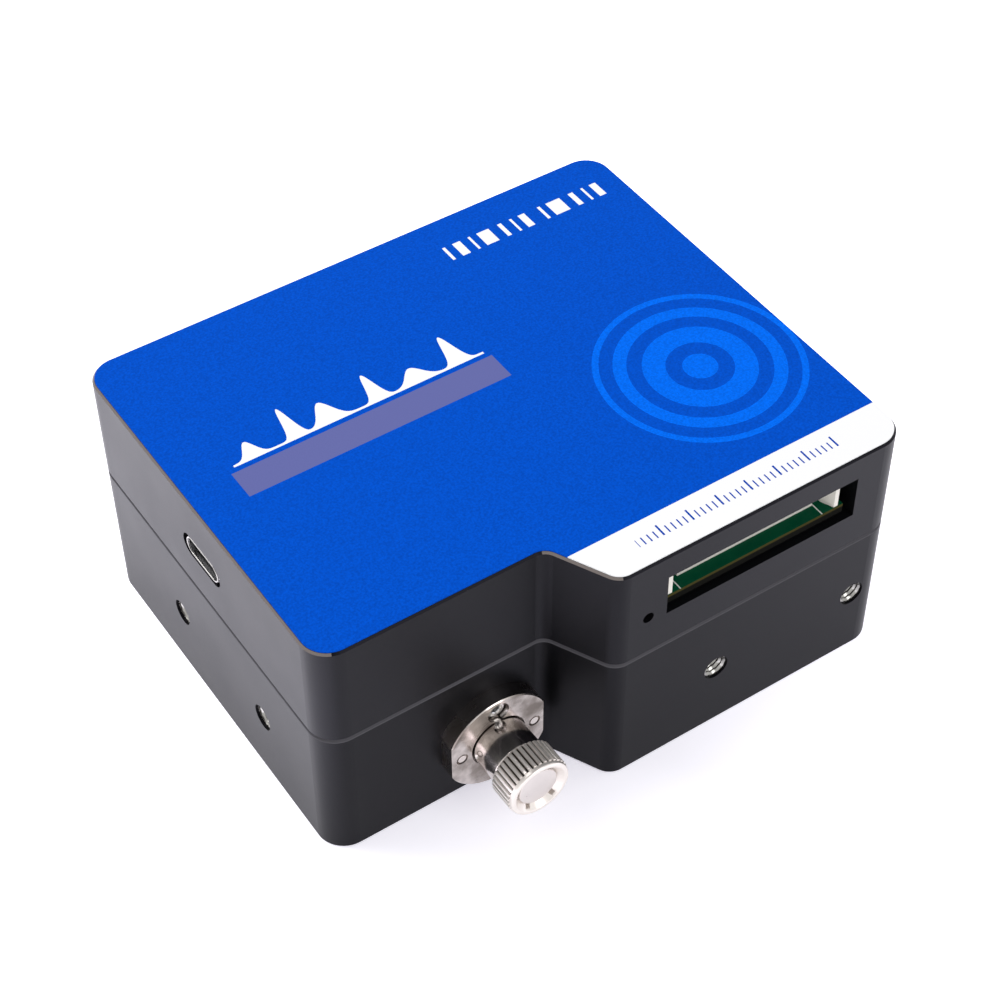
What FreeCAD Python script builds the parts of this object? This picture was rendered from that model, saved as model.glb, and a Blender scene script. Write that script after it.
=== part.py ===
import FreeCAD, Part
import math
import os
import Sketcher
from types import SimpleNamespace
from FreeCAD import Placement, Rotation, Vector

# Fibre optic spectrometer: a two-piece milled aluminium housing with an optical bench in its lower half
# and a circuit board in its upper half. Millimetres. The origin is the middle of the housing's underside,
# +X runs along the front to the right, +Y to the back and +Z up. The fibre port is on the front.

SIZES = {
    # Housing outline. The front's right part stands out as a step, joined by a slanted wall.
    "body_width": 90.0,
    "body_depth": 76.0,
    "step_depth": 10.2,
    "step_width": 54.8,
    "step_slant": 5.1,
    "corner_radius": 4.3,
    "step_inner_radius": 2.2,
    "step_outer_radius": 3.0,
    # Housing halves
    "base_height": 24.3,
    "top_height": 17.9,
    "wall": 3.0,
    "floor_thickness": 3.0,
    "roof_thickness": 2.6,
    "cavity_radius": 3.0,
    "edge_chamfer": 0.3,
    "parting_chamfer": 0.3,
    # Overlay label and the seal in the parting face
    "label_inset": 0.35,
    "label_thickness": 0.2,
    "gasket_inset": 1.0,
    "gasket_width": 0.9,
    "gasket_height": 0.7,
    "gasket_side_gap": 0.05,
    # Housing screws, driven from below
    "boss_radius": 3.7,
    "boss_inset": 6.2,
    "wing_boss_from_front": 13.0,
    "step_boss_from_step": 5.2,
    "step_boss_from_recess": 2.3,
    "back_boss_from_right": 42.0,
    "screw_radius": 1.5,
    "screw_head_radius": 2.75,
    "screw_head_height": 3.0,
    "screw_hole_radius": 1.7,
    "counterbore_radius": 3.0,
    "screw_seat_height": 12.0,
    "screw_reach": 7.0,
    "tapped_hole_gap": 0.05,
    "tapped_hole_spare": 1.0,
    "hex_socket_radius": 1.45,
    "hex_socket_depth": 1.5,
    # Threaded mounting holes with wire inserts
    "thread_hole_radius": 2.05,
    "thread_hole_depth": 7.0,
    "thread_boss_radius": 4.0,
    "thread_boss_depth": 8.0,
    "thread_hole_height": 12.2,
    "front_hole_spacing": 25.2,
    "front_hole_from_right": 18.9,
    "side_hole_spacing": 23.6,
    "side_hole_middle": 2.35,
    "insert_radius": 2.0,
    "insert_bore_radius": 1.7,
    "insert_recess": 0.35,
    "insert_length": 5.8,
    # Fibre port on the recessed front
    "port_from_step": 9.25,
    "port_height": 10.85,
    "port_boss_radius": 9.4,
    "port_boss_depth": 3.0,
    "flange_radius": 8.4,
    "flange_half_width": 7.75,
    "flange_thickness": 2.7,
    "flange_recess_radius": 4.5,
    "flange_recess_depth": 0.9,
    "flange_fixing_offset": 6.1,
    "flange_bore_radius": 1.75,
    "flange_bore_depth": 1.6,
    "flange_screw_radius": 1.0,
    "flange_screw_head_radius": 1.6,
    "flange_screw_head_height": 1.3,
    "flange_screw_reach": 3.5,
    "pin_radius": 0.65,
    "pin_ring_radius": 0.95,
    "pin_ring_depth": 0.3,
    "pin_reach": 2.5,
    "pin_sink": 0.05,
    "barrel_radius": 4.25,
    "barrel_front": 8.1,
    "barrel_back": 9.5,
    "barrel_hole_gap": 0.05,
    "dimple_radius": 0.55,
    "dimple_depth": 0.5,
    "dimple_place": 3.6,
    "neck_radius": 3.15,
    "ferrule_bore_radius": 1.6,
    "slit_seat_radius": 3.0,
    "slit_seat_depth": 2.2,
    "slit_thickness": 0.4,
    "slit_width": 0.3,
    "slit_length": 2.0,
    "retainer_thickness": 1.5,
    "retainer_bore_radius": 1.7,
    "nut_half_width": 5.5,
    "nut_thickness": 2.4,
    # Screw cap of the port
    "cap_gap": 0.25,
    "cap_radius": 4.95,
    "cap_rim_radius": 4.8,
    "cap_knurl_end": 12.4,
    "cap_end": 13.1,
    "cap_edge": 0.35,
    "cap_run_gap": 0.05,
    "cap_recess_radius": 3.15,
    "cap_recess_slope": 0.95,
    "cap_recess_floor": 12.1,
    "cap_lip_radius": 2.6,
    "cap_lip_thickness": 0.35,
    "knurl_count": 36.0,
    "knurl_depth": 0.32,
    "knurl_half_width": 0.24,
    "key_notch_radius": 0.4,
    "key_notch_place": 3.65,
    "key_notch_left": -120.0,
    "key_notch_right": -51.0,
    "plug_thickness": 0.35,
    "plug_pin_radius": 1.55,
    "plug_pin_length": 2.5,
    # Optical bench on the floor of the lower half
    "mirror_radius": 6.0,
    "mirror_thickness": 3.0,
    "mirror_rim": 0.4,
    "collimator_curve_radius": 85.0,
    "focus_curve_radius": 95.0,
    "mount_width": 16.0,
    "mount_top": 7.6,
    "mount_thickness": 5.5,
    "mount_lip": 0.6,
    "foot_length": 4.5,
    "foot_thickness": 2.0,
    "foot_screw_offset": 5.0,
    "foot_screw_radius": 1.0,
    "foot_screw_head_radius": 1.9,
    "foot_screw_head_height": 1.3,
    "foot_screw_reach": 1.8,
    "mirror_from_back": 16.0,
    "collimator_angle": 18.0,
    "focus_from_detector": 0.1,
    "focus_angle": -14.2,
    "grating_from_right": 39.0,
    "grating_from_recess": 15.8,
    "grating_angle": 189.0,
    "grating_size": 12.0,
    "grating_thickness": 4.0,
    "ruled_size": 10.0,
    "ruled_depth": 0.05,
    "seat_gap": 0.05,
    "entrance_baffle_from_port": 9.95,
    "entrance_baffle_from_recess": 9.8,
    "entrance_baffle_length": 15.0,
    "baffle_height": 17.0,
    "baffle_thickness": 1.0,
    "baffle_foot": 5.0,
    "detector_baffle_from_front": 19.0,
    "detector_baffle_width": 16.4,
    "baffle_window_width": 11.0,
    "baffle_window_height": 8.0,
    # Cooled detector behind the step's front wall
    "detector_from_right": 20.4,
    "spreader_width": 9.6,
    "spreader_height": 12.0,
    "spreader_thickness": 4.6,
    "cooler_size": 8.6,
    "cooler_thickness": 2.4,
    "detector_board_width": 21.6,
    "detector_board_height": 18.5,
    "detector_board_thickness": 1.6,
    "cooler_window_gap": 0.4,
    "package_width": 19.0,
    "package_height": 10.0,
    "package_thickness": 3.0,
    "package_lead_length": 1.2,
    "package_lead_thickness": 0.4,
    "window_width": 14.0,
    "window_height": 6.0,
    "window_thickness": 0.7,
    "filter_thickness": 0.5,
    "filter_width": 12.0,
    "filter_height": 4.6,
    # Main board in the upper half
    "board_thickness": 1.6,
    "board_side_gap": 0.6,
    "board_from_front": 20.8,
    "board_from_back": 10.6,
    "tab_from_right": 10.4,
    "tab_width": 30.7,
    "tab_sink": 0.5,
    "lamp_ear_width": 4.4,
    "lamp_ear_depth": 3.4,
    "standoff_radius": 2.5,
    "standoff_length": 6.0,
    "standoff_stud_length": 1.6,
    "standoff_from_side": 12.0,
    "standoff_from_back": 16.5,
    "standoff_from_front": 26.5,
    "board_screw_radius": 1.2,
    "board_screw_hole_radius": 1.4,
    "board_screw_head_radius": 2.2,
    "board_screw_head_height": 1.5,
    "board_screw_reach": 3.5,
    "chip_thickness": 1.2,
    "processor_width": 12.0,
    "converter_width": 8.0,
    "memory_width": 6.0,
    "chip_spacing": 14.0,
    # Wide slot in the step's front wall and the header behind it
    "slot_from_right": 8.6,
    "slot_width": 32.9,
    "slot_under_board": 1.4,
    "slot_over_board": 4.3,
    "header_from_right": 11.3,
    "header_width": 29.7,
    "header_height": 3.8,
    "header_ear_front": 0.6,
    "header_ear_width": 1.6,
    "header_ear_tip": 0.7,
    "header_gap": 1.45,
    "header_gap_depth": 1.8,
    "header_face": 2.6,
    "header_back": 8.6,
    "header_wall": 0.7,
    "header_mouth_depth": 4.2,
    "contact_count": 20.0,
    "contact_size": 0.4,
    "contact_length": 3.4,
    "contact_pitch": 1.0,
    # Side socket in the left wall
    "socket_y": 4.25,
    "socket_opening_length": 10.4,
    "socket_opening_height": 3.9,
    "socket_length": 8.94,
    "socket_height": 3.2,
    "socket_depth": 7.4,
    "socket_sink": 0.35,
    "socket_skin": 0.3,
    "socket_tab_width": 1.2,
    "tongue_width": 6.7,
    "tongue_height": 0.7,
    "tongue_length": 5.2,
    "socket_block": 1.6,
    # Light guide in the small hole beside the slot
    "guide_from_slot": 3.1,
    "guide_under_board": 0.3,
    "guide_hole_radius": 0.9,
    "guide_radius": 0.85,
    "guide_sink": 1.0,
    "guide_length": 3.0,
    "led_width": 1.6,
    "led_height": 1.3,
    "led_depth": 1.8,
    # Flat cable between the two boards
    "cable_width": 11.0,
    "cable_thickness": 0.3,
    "cable_bend_radius": 2.5,
    "cable_header_width": 14.0,
    "cable_header_height": 2.6,
    "cable_header_depth": 1.8,
    "cable_header_from_front": 17.0,
}


class Length:
    """A size that carries its number and the sheet expression that gives it."""

    def __init__(self, value, text):
        self.value = value
        self.text = text

    def __add__(self, other):
        return joined(self, "+", other, self.value + number(other))

    def __radd__(self, other):
        return joined(other, "+", self, number(other) + self.value)

    def __sub__(self, other):
        return joined(self, "-", other, self.value - number(other))

    def __rsub__(self, other):
        return joined(other, "-", self, number(other) - self.value)

    def __mul__(self, other):
        return joined(self, "*", other, self.value * number(other))

    def __rmul__(self, other):
        return joined(other, "*", self, number(other) * self.value)

    def __truediv__(self, other):
        return joined(self, "/", other, self.value / number(other))

    def __neg__(self):
        return joined(0, "-", self, -self.value)


def number(length):
    return length.value if isinstance(length, Length) else float(length)


def text(length):
    return length.text if isinstance(length, Length) else repr(float(length))


def joined(left, sign, right, value):
    return Length(value, f"({text(left)} {sign} {text(right)})")


def root(length):
    return Length(math.sqrt(number(length)), f"sqrt({text(length)})")


def cosine(degrees):
    return Length(math.cos(math.radians(number(degrees))), f"cos({text(degrees)} * 1 deg)")


def sine(degrees):
    return Length(math.sin(math.radians(number(degrees))), f"sin({text(degrees)} * 1 deg)")


doc = FreeCAD.newDocument("Spectrometer")
sheet = doc.addObject("Spreadsheet::Sheet", "Sizes")
for row, (alias, value) in enumerate(SIZES.items(), start=1):
    sheet.set(f"A{row}", alias)
    sheet.set(f"B{row}", str(value))
    sheet.setAlias(f"B{row}", alias)
doc.recompute()
s = SimpleNamespace(**{alias: Length(value, f"Sizes.{alias}") for alias, value in SIZES.items()})

PARTS = []

# Places that several pieces share
LEFT = -s.body_width / 2
RIGHT = s.body_width / 2
FRONT = -s.body_depth / 2
BACK = s.body_depth / 2
RECESSED_FRONT = FRONT + s.step_depth
HOUSING_TOP = s.base_height + s.top_height
ROOF = HOUSING_TOP - s.roof_thickness
SLANT_LENGTH = root(s.step_slant * s.step_slant + s.step_depth * s.step_depth)
SLANT_SHIFT = (SLANT_LENGTH - s.step_slant) / s.step_depth
STEP_LEFT = RIGHT - s.step_width
PORT_X = STEP_LEFT - s.port_from_step
DETECTOR_X = RIGHT - s.detector_from_right
BOARD_TOP = ROOF - s.standoff_length
BOARD_UNDERSIDE = BOARD_TOP - s.board_thickness
SLOT_RIGHT = RIGHT - s.slot_from_right
SLOT_LEFT = SLOT_RIGHT - s.slot_width
GUIDE_X = SLOT_LEFT - s.guide_from_slot
GUIDE_Z = BOARD_UNDERSIDE - s.guide_under_board
BOSSES = [
    (LEFT + s.boss_inset, BACK - s.boss_inset),
    (RIGHT - s.back_boss_from_right, BACK - s.boss_inset),
    (RIGHT - s.boss_inset, BACK - s.boss_inset),
    (RIGHT - s.boss_inset, FRONT + s.wing_boss_from_front),
    (STEP_LEFT + s.step_boss_from_step, RECESSED_FRONT + s.step_boss_from_recess),
    (LEFT + s.boss_inset, RECESSED_FRONT + s.boss_inset),
]
FRONT_HOLES = [RIGHT - s.front_hole_from_right + side * s.front_hole_spacing / 2 for side in (-1, 1)]
SIDE_HOLES = [s.side_hole_middle + side * s.side_hole_spacing / 2 for side in (-1, 1)]
SCREW_TIP = s.base_height + s.screw_reach


def bind(item, path, length):
    item.setExpression(path, text(length))


def place(item, x=0, y=0, z=0):
    for axis, value in (("x", x), ("y", y), ("z", z)):
        if isinstance(value, Length):
            bind(item, f"Placement.Base.{axis}", value)


def part(item, label):
    """Marks a finished sub-part: its label is the name of its file."""
    item.Label = label
    PARTS.append(item)
    return item


# Sketches


def new_body(name):
    return doc.addObject("PartDesign::Body", name)


def sketch_on(body, name, role="XY_Plane", height=None):
    plane = next(item for item in body.Origin.OriginFeatures if item.Role == role)
    sketch = body.newObject("Sketcher::SketchObject", name)
    sketch.AttachmentSupport = [(plane, "")]
    sketch.MapMode = "FlatFace"
    if height is not None:
        bind(sketch, "AttachmentOffset.Base.z", height)
    return sketch


def constrain(sketch, rows):
    """Adds the constraints in one go, then ties those that have a size to the sheet."""
    numbers = sketch.addConstraint([constraint for constraint, _ in rows])
    for index, (_, size) in zip(numbers, rows):
        if size is not None:
            sketch.setExpression(f"Constraints[{index}]", text(size))


def held_at(geometry, point, x, y):
    return [
        (Sketcher.Constraint("DistanceX", geometry, point, number(x)), x),
        (Sketcher.Constraint("DistanceY", geometry, point, number(y)), y),
    ]


def circles(sketch, spots, radius):
    rows = []
    for x, y in spots:
        ring = Part.Circle(Vector(number(x), number(y), 0), Vector(0, 0, 1), number(radius))
        geometry = sketch.addGeometry(ring, False)
        rows += held_at(geometry, 3, x, y)
        rows.append((Sketcher.Constraint("Radius", geometry, number(radius)), radius))
    constrain(sketch, rows)


def corner_arc(before, corner, after, radius):
    """Tangent points, centre and turning sense of the arc that rounds one corner."""
    back = (before - corner).normalize()
    ahead = (after - corner).normalize()
    half = back.getAngle(ahead) / 2
    reach = radius / math.tan(half)
    middle = Vector(back + ahead).normalize()
    centre = corner + middle * (radius / math.sin(half))
    convex = back.cross(ahead).z < 0
    return corner + back * reach, corner + ahead * reach, centre, convex


def loop(sketch, corners):
    """A closed outline, counter-clockwise. Each corner is (x, y) or, when rounded, (x, y, radius)."""
    spots = [Vector(number(corner[0]), number(corner[1]), 0) for corner in corners]
    count = len(corners)
    arcs = {}
    for index, corner in enumerate(corners):
        if len(corner) == 3:
            around = (spots[index - 1], spots[index], spots[(index + 1) % count])
            arcs[index] = corner_arc(*around, number(corner[2]))
    starts = [arcs[index][1] if index in arcs else spots[index] for index in range(count)]
    ends = [arcs[index][0] if index in arcs else spots[index] for index in range(count)]
    lines = []
    for index in range(count):
        edge = Part.LineSegment(starts[index], ends[(index + 1) % count])
        lines.append(sketch.addGeometry(edge, False))
    rows = []
    for index, corner in enumerate(corners):
        x, y = corner[:2]
        arriving, leaving = lines[index - 1], lines[index]
        if index not in arcs:
            rows.append((Sketcher.Constraint("Coincident", arriving, 2, leaving, 1), None))
            rows += held_at(leaving, 1, x, y)
            continue
        entry, leave, centre, convex = arcs[index]
        first, last = (entry, leave) if convex else (leave, entry)
        angles = [math.atan2(*reversed(tuple(spot - centre)[:2])) for spot in (first, last)]
        ring = Part.Circle(centre, Vector(0, 0, 1), number(corner[2]))
        arc = sketch.addGeometry(Part.ArcOfCircle(ring, *angles), False)
        vertex = sketch.addGeometry(Part.Point(spots[index]), True)
        entry_end, leave_end = (1, 2) if convex else (2, 1)
        rows.append((Sketcher.Constraint("Tangent", arriving, 2, arc, entry_end), None))
        rows.append((Sketcher.Constraint("Tangent", arc, leave_end, leaving, 1), None))
        rows.append((Sketcher.Constraint("Radius", arc, number(corner[2])), corner[2]))
        rows += held_at(vertex, 1, x, y)
        rows.append((Sketcher.Constraint("PointOnObject", vertex, 1, arriving), None))
        rows.append((Sketcher.Constraint("PointOnObject", vertex, 1, leaving), None))
    constrain(sketch, rows)


def rectangle(left, bottom, right, top, radius=None):
    corners = [(left, bottom), (right, bottom), (right, top), (left, top)]
    return [corner + (radius,) for corner in corners] if radius is not None else corners


# Features


def feature(body, kind, name, sketch, length, flipped=False):
    item = body.newObject(f"PartDesign::{kind}", name)
    item.Profile = sketch
    item.Reversed = flipped
    bind(item, "Length", length)
    doc.recompute()
    return item


def pad(body, name, sketch, length, flipped=False):
    return feature(body, "Pad", name, sketch, length, flipped)


def pocket(body, name, sketch, length, flipped=False):
    return feature(body, "Pocket", name, sketch, length, flipped)


def revolve(body, name, sketch):
    item = body.newObject("PartDesign::Revolution", name)
    item.Profile = sketch
    item.ReferenceAxis = (sketch, ["V_Axis"])
    item.Angle = 360
    doc.recompute()
    return item


def chamfer_outer_edges(body, name, height, size):
    """Breaks every edge of the outer outline that lies at one height."""
    tip = body.Tip
    shape = tip.Shape
    faces = [face for face in shape.Faces
             if abs(face.BoundBox.ZMin - height) < 1e-6 and face.BoundBox.ZLength < 1e-6]
    outline = max((face.OuterWire for face in faces), key=lambda wire: wire.BoundBox.DiagonalLength)
    names = []
    for index, edge in enumerate(shape.Edges, start=1):
        if any(edge.isSame(other) for other in outline.Edges):
            names.append(f"Edge{index}")
    item = body.newObject("PartDesign::Chamfer", name)
    item.Base = (tip, names)
    bind(item, "Size", size)
    doc.recompute()
    return item


# Primitives and booleans


def block(name, low, size):
    item = doc.addObject("Part::Box", name)
    for path, length in zip(("Length", "Width", "Height"), size):
        bind(item, path, length)
    place(item, *low)
    return item


TURNS = {
    "+z": Rotation(),
    "-z": Rotation(Vector(1, 0, 0), 180),
    "+y": Rotation(Vector(1, 0, 0), -90),
    "-y": Rotation(Vector(1, 0, 0), 90),
    "+x": Rotation(Vector(0, 1, 0), 90),
    "-x": Rotation(Vector(0, 1, 0), -90),
}


def rod(name, foot, way, radius, length):
    item = doc.addObject("Part::Cylinder", name)
    bind(item, "Radius", radius)
    bind(item, "Height", length)
    item.Placement = Placement(Vector(), TURNS[way])
    place(item, *foot)
    return item


def fused(name, pieces):
    item = doc.addObject("Part::MultiFuse", name)
    item.Shapes = pieces
    return item


def less(name, solid, tools):
    item = doc.addObject("Part::Cut", name)
    item.Base = solid
    item.Tool = tools[0] if len(tools) == 1 else fused(f"{name}_tools", tools)
    return item


def outline(inset, inner_radius=None):
    """The housing's outline moved inwards, with its rounded corners moved with it."""
    left, right = LEFT + inset, RIGHT - inset
    front, recess, back = FRONT + inset, RECESSED_FRONT + inset, BACK - inset
    shift = inset * SLANT_SHIFT
    step_start = STEP_LEFT + shift
    outer = inner_radius if inner_radius is not None else s.corner_radius - inset
    convex = inner_radius if inner_radius is not None else s.step_outer_radius - inset
    return [
        (left, recess, outer),
        (step_start, recess, s.step_inner_radius + inset),
        (step_start + s.step_slant, front, convex),
        (right, front, outer),
        (right, back, outer),
        (left, back, outer),
    ]


# The lower half: a milled tub with screw bosses, a thick seat for the port and bosses for the threaded holes.


def base_housing():
    body = new_body("base_body")
    shell = sketch_on(body, "base_outline")
    loop(shell, outline(Length(0, "0")))
    pad(body, "base_block", shell, s.base_height)
    chamfer_outer_edges(body, "base_foot_edge", 0, s.edge_chamfer)
    chamfer_outer_edges(body, "base_parting_edge", SIZES["base_height"], s.parting_chamfer)
    hollow = sketch_on(body, "base_cavity_outline", height=s.base_height)
    loop(hollow, outline(s.wall, s.cavity_radius))
    pocket(body, "base_cavity", hollow, s.base_height - s.floor_thickness)

    columns = sketch_on(body, "base_bosses", height=s.floor_thickness)
    circles(columns, BOSSES, s.boss_radius)
    pad(body, "base_boss_columns", columns, s.base_height - s.floor_thickness)
    seat = sketch_on(body, "port_boss_outline", "XZ_Plane", -RECESSED_FRONT - s.wall)
    circles(seat, [(PORT_X, s.port_height)], s.port_boss_radius)
    pad(body, "port_boss", seat, s.port_boss_depth, flipped=True)
    front = sketch_on(body, "front_boss_outline", "XZ_Plane", -FRONT - s.wall)
    circles(front, [(x, s.thread_hole_height) for x in FRONT_HOLES], s.thread_boss_radius)
    pad(body, "front_bosses", front, s.thread_boss_depth - s.wall, flipped=True)
    side = sketch_on(body, "side_boss_outline", "YZ_Plane", LEFT + s.wall)
    circles(side, [(y, s.thread_hole_height) for y in SIDE_HOLES], s.thread_boss_radius)
    pad(body, "side_bosses", side, s.thread_boss_depth - s.wall)

    front_holes = sketch_on(body, "front_hole_outline", "XZ_Plane", -FRONT)
    circles(front_holes, [(x, s.thread_hole_height) for x in FRONT_HOLES], s.thread_hole_radius)
    pocket(body, "front_holes", front_holes, s.thread_hole_depth)
    side_holes = sketch_on(body, "side_hole_outline", "YZ_Plane", LEFT)
    circles(side_holes, [(y, s.thread_hole_height) for y in SIDE_HOLES], s.thread_hole_radius)
    pocket(body, "side_holes", side_holes, s.thread_hole_depth, flipped=True)

    through = sketch_on(body, "screw_hole_outline", height=s.base_height)
    circles(through, BOSSES, s.screw_hole_radius)
    pocket(body, "screw_holes", through, s.base_height)
    seats = sketch_on(body, "counterbore_outline")
    circles(seats, BOSSES, s.counterbore_radius)
    pocket(body, "counterbores", seats, s.screw_seat_height, flipped=True)

    port = sketch_on(body, "port_hole_outline", "XZ_Plane", -RECESSED_FRONT)
    circles(port, [(PORT_X, s.port_height)], s.barrel_radius + s.barrel_hole_gap)
    pocket(body, "port_hole", port, s.wall + s.port_boss_depth)
    tapped = sketch_on(body, "flange_screw_hole_outline", "XZ_Plane", -RECESSED_FRONT)
    circles(tapped, flange_screw_spots(), s.flange_screw_radius + s.tapped_hole_gap)
    pocket(body, "flange_screw_holes", tapped, s.flange_screw_reach + s.tapped_hole_spare)
    dowels = sketch_on(body, "flange_pin_hole_outline", "XZ_Plane", -RECESSED_FRONT)
    circles(dowels, flange_pin_spots(), s.pin_radius + s.tapped_hole_gap)
    pocket(body, "flange_pin_holes", dowels, s.pin_reach)

    feet = sketch_on(body, "foot_screw_hole_outline", height=s.floor_thickness)
    circles(feet, foot_screw_spots(), s.foot_screw_radius + s.tapped_hole_gap)
    pocket(body, "foot_screw_holes", feet, s.foot_screw_reach + s.tapped_hole_gap * 4)

    groove = sketch_on(body, "gasket_groove_outline", height=s.base_height)
    gasket_loops(groove, s.gasket_side_gap)
    pocket(body, "gasket_groove", groove, s.gasket_height)
    return part(body, "base_housing")


def flange_screw_spots():
    return [(PORT_X, s.port_height + side * s.flange_fixing_offset) for side in (-1, 1)]


def flange_pin_spots():
    return [(PORT_X + side * s.flange_fixing_offset, s.port_height) for side in (-1, 1)]


def gasket_loops(sketch, gap):
    """The seal's outer and inner outline. The gap makes the groove wider than the seal."""
    loop(sketch, outline(s.gasket_inset - gap))
    inner = s.gasket_inset + s.gasket_width + gap
    loop(sketch, outline(inner, s.corner_radius - inner))


def housing_gasket():
    body = new_body("gasket_body")
    ring = sketch_on(body, "gasket_outline", height=s.base_height - s.gasket_height)
    gasket_loops(ring, Length(0, "0"))
    pad(body, "gasket_cord", ring, s.gasket_height)
    return part(body, "housing_gasket")


# The upper half: a milled lid that carries the board under its roof.


def top_housing():
    body = new_body("top_body")
    shell = sketch_on(body, "top_outline", height=s.base_height)
    loop(shell, outline(Length(0, "0")))
    pad(body, "top_block", shell, s.top_height)
    chamfer_outer_edges(body, "top_rim_edge", SIZES["base_height"] + SIZES["top_height"], s.edge_chamfer)
    chamfer_outer_edges(body, "top_parting_edge", SIZES["base_height"], s.parting_chamfer)
    hollow = sketch_on(body, "top_cavity_outline", height=s.base_height)
    loop(hollow, outline(s.wall, s.cavity_radius))
    pocket(body, "top_cavity", hollow, s.top_height - s.roof_thickness, flipped=True)

    columns = sketch_on(body, "top_bosses", height=s.base_height)
    circles(columns, BOSSES, s.boss_radius)
    pad(body, "top_boss_columns", columns, s.top_height - s.roof_thickness)
    tapped = sketch_on(body, "tapped_hole_outline", height=s.base_height)
    circles(tapped, BOSSES, s.screw_radius + s.tapped_hole_gap)
    pocket(body, "tapped_holes", tapped, s.screw_reach + s.tapped_hole_spare, flipped=True)

    slot = sketch_on(body, "slot_outline", "XZ_Plane", -FRONT)
    loop(slot, rectangle(SLOT_LEFT, BOARD_UNDERSIDE - s.slot_under_board,
                         SLOT_RIGHT, BOARD_TOP + s.slot_over_board))
    pocket(body, "slot", slot, s.wall)
    guide = sketch_on(body, "guide_hole_outline", "XZ_Plane", -FRONT)
    circles(guide, [(GUIDE_X, GUIDE_Z)], s.guide_hole_radius)
    pocket(body, "guide_hole", guide, s.wall)
    socket = sketch_on(body, "socket_opening_outline", "YZ_Plane", LEFT)
    loop(socket, stadium(s.socket_y, socket_middle(), s.socket_opening_length, s.socket_opening_height))
    pocket(body, "socket_opening", socket, s.wall, flipped=True)
    studs = sketch_on(body, "standoff_hole_outline", height=ROOF)
    circles(studs, standoff_spots(), s.board_screw_radius + s.tapped_hole_gap)
    pocket(body, "standoff_holes", studs, s.standoff_stud_length + s.tapped_hole_gap * 4, flipped=True)
    return part(body, "top_housing")


def socket_middle():
    return BOARD_UNDERSIDE + s.board_thickness / 2


def stadium(x, y, length, height):
    """A slot with nearly full round ends, as a rectangle with rounded corners."""
    radius = height * 0.49
    return rectangle(x - length / 2, y - height / 2, x + length / 2, y + height / 2, radius)


def standoff_spots():
    sides = (LEFT + s.standoff_from_side, RIGHT - s.standoff_from_side)
    rows = (BACK - s.standoff_from_back, FRONT + s.standoff_from_front)
    return [(x, y) for y in rows for x in sides]


def top_label():
    body = new_body("label_body")
    film = sketch_on(body, "label_outline", height=HOUSING_TOP)
    loop(film, outline(s.label_inset))
    pad(body, "label_film", film, s.label_thickness)
    return part(body, "top_label")


def housing_screws():
    pieces = []
    for index, (x, y) in enumerate(BOSSES):
        head_foot = s.screw_seat_height - s.screw_head_height
        head = rod(f"screw_head_{index}", (x, y, head_foot), "+z", s.screw_head_radius, s.screw_head_height)
        shank = rod(f"screw_shank_{index}", (x, y, s.screw_seat_height), "+z", s.screw_radius,
                    SCREW_TIP - s.screw_seat_height)
        key = doc.addObject("Part::Prism", f"screw_key_{index}")
        key.Polygon = 6
        bind(key, "Circumradius", s.hex_socket_radius)
        bind(key, "Height", s.hex_socket_depth)
        place(key, x, y, head_foot)
        pieces.append(less(f"screw_{index}", fused(f"screw_blank_{index}", [head, shank]), [key]))
    return part(fused("screw_set", pieces), "housing_screws")


# Wire inserts in the threaded holes


def thread_inserts(label, feet, way):
    pieces = []
    for index, foot in enumerate(feet):
        sleeve = rod(f"{label}_sleeve_{index}", foot, way, s.insert_radius, s.insert_length)
        bore = rod(f"{label}_bore_{index}", foot, way, s.insert_bore_radius, s.insert_length)
        pieces.append(less(f"{label}_{index}", sleeve, [bore]))
    return part(fused(f"{label}_set", pieces), label)


# The fibre port. Its turned pieces are drawn along +Z, outwards from the recessed front, and then laid down.


def lay_on_front(item):
    item.Placement = Placement(Vector(), TURNS["-y"])
    place(item, PORT_X, RECESSED_FRONT, s.port_height)
    return item


def turned(name, profile):
    """A body of revolution from (radius, distance outwards) points."""
    body = new_body(f"{name}_body")
    sketch = sketch_on(body, f"{name}_profile", "XZ_Plane")
    loop(sketch, profile)
    revolve(body, f"{name}_turning", sketch)
    return body


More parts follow.
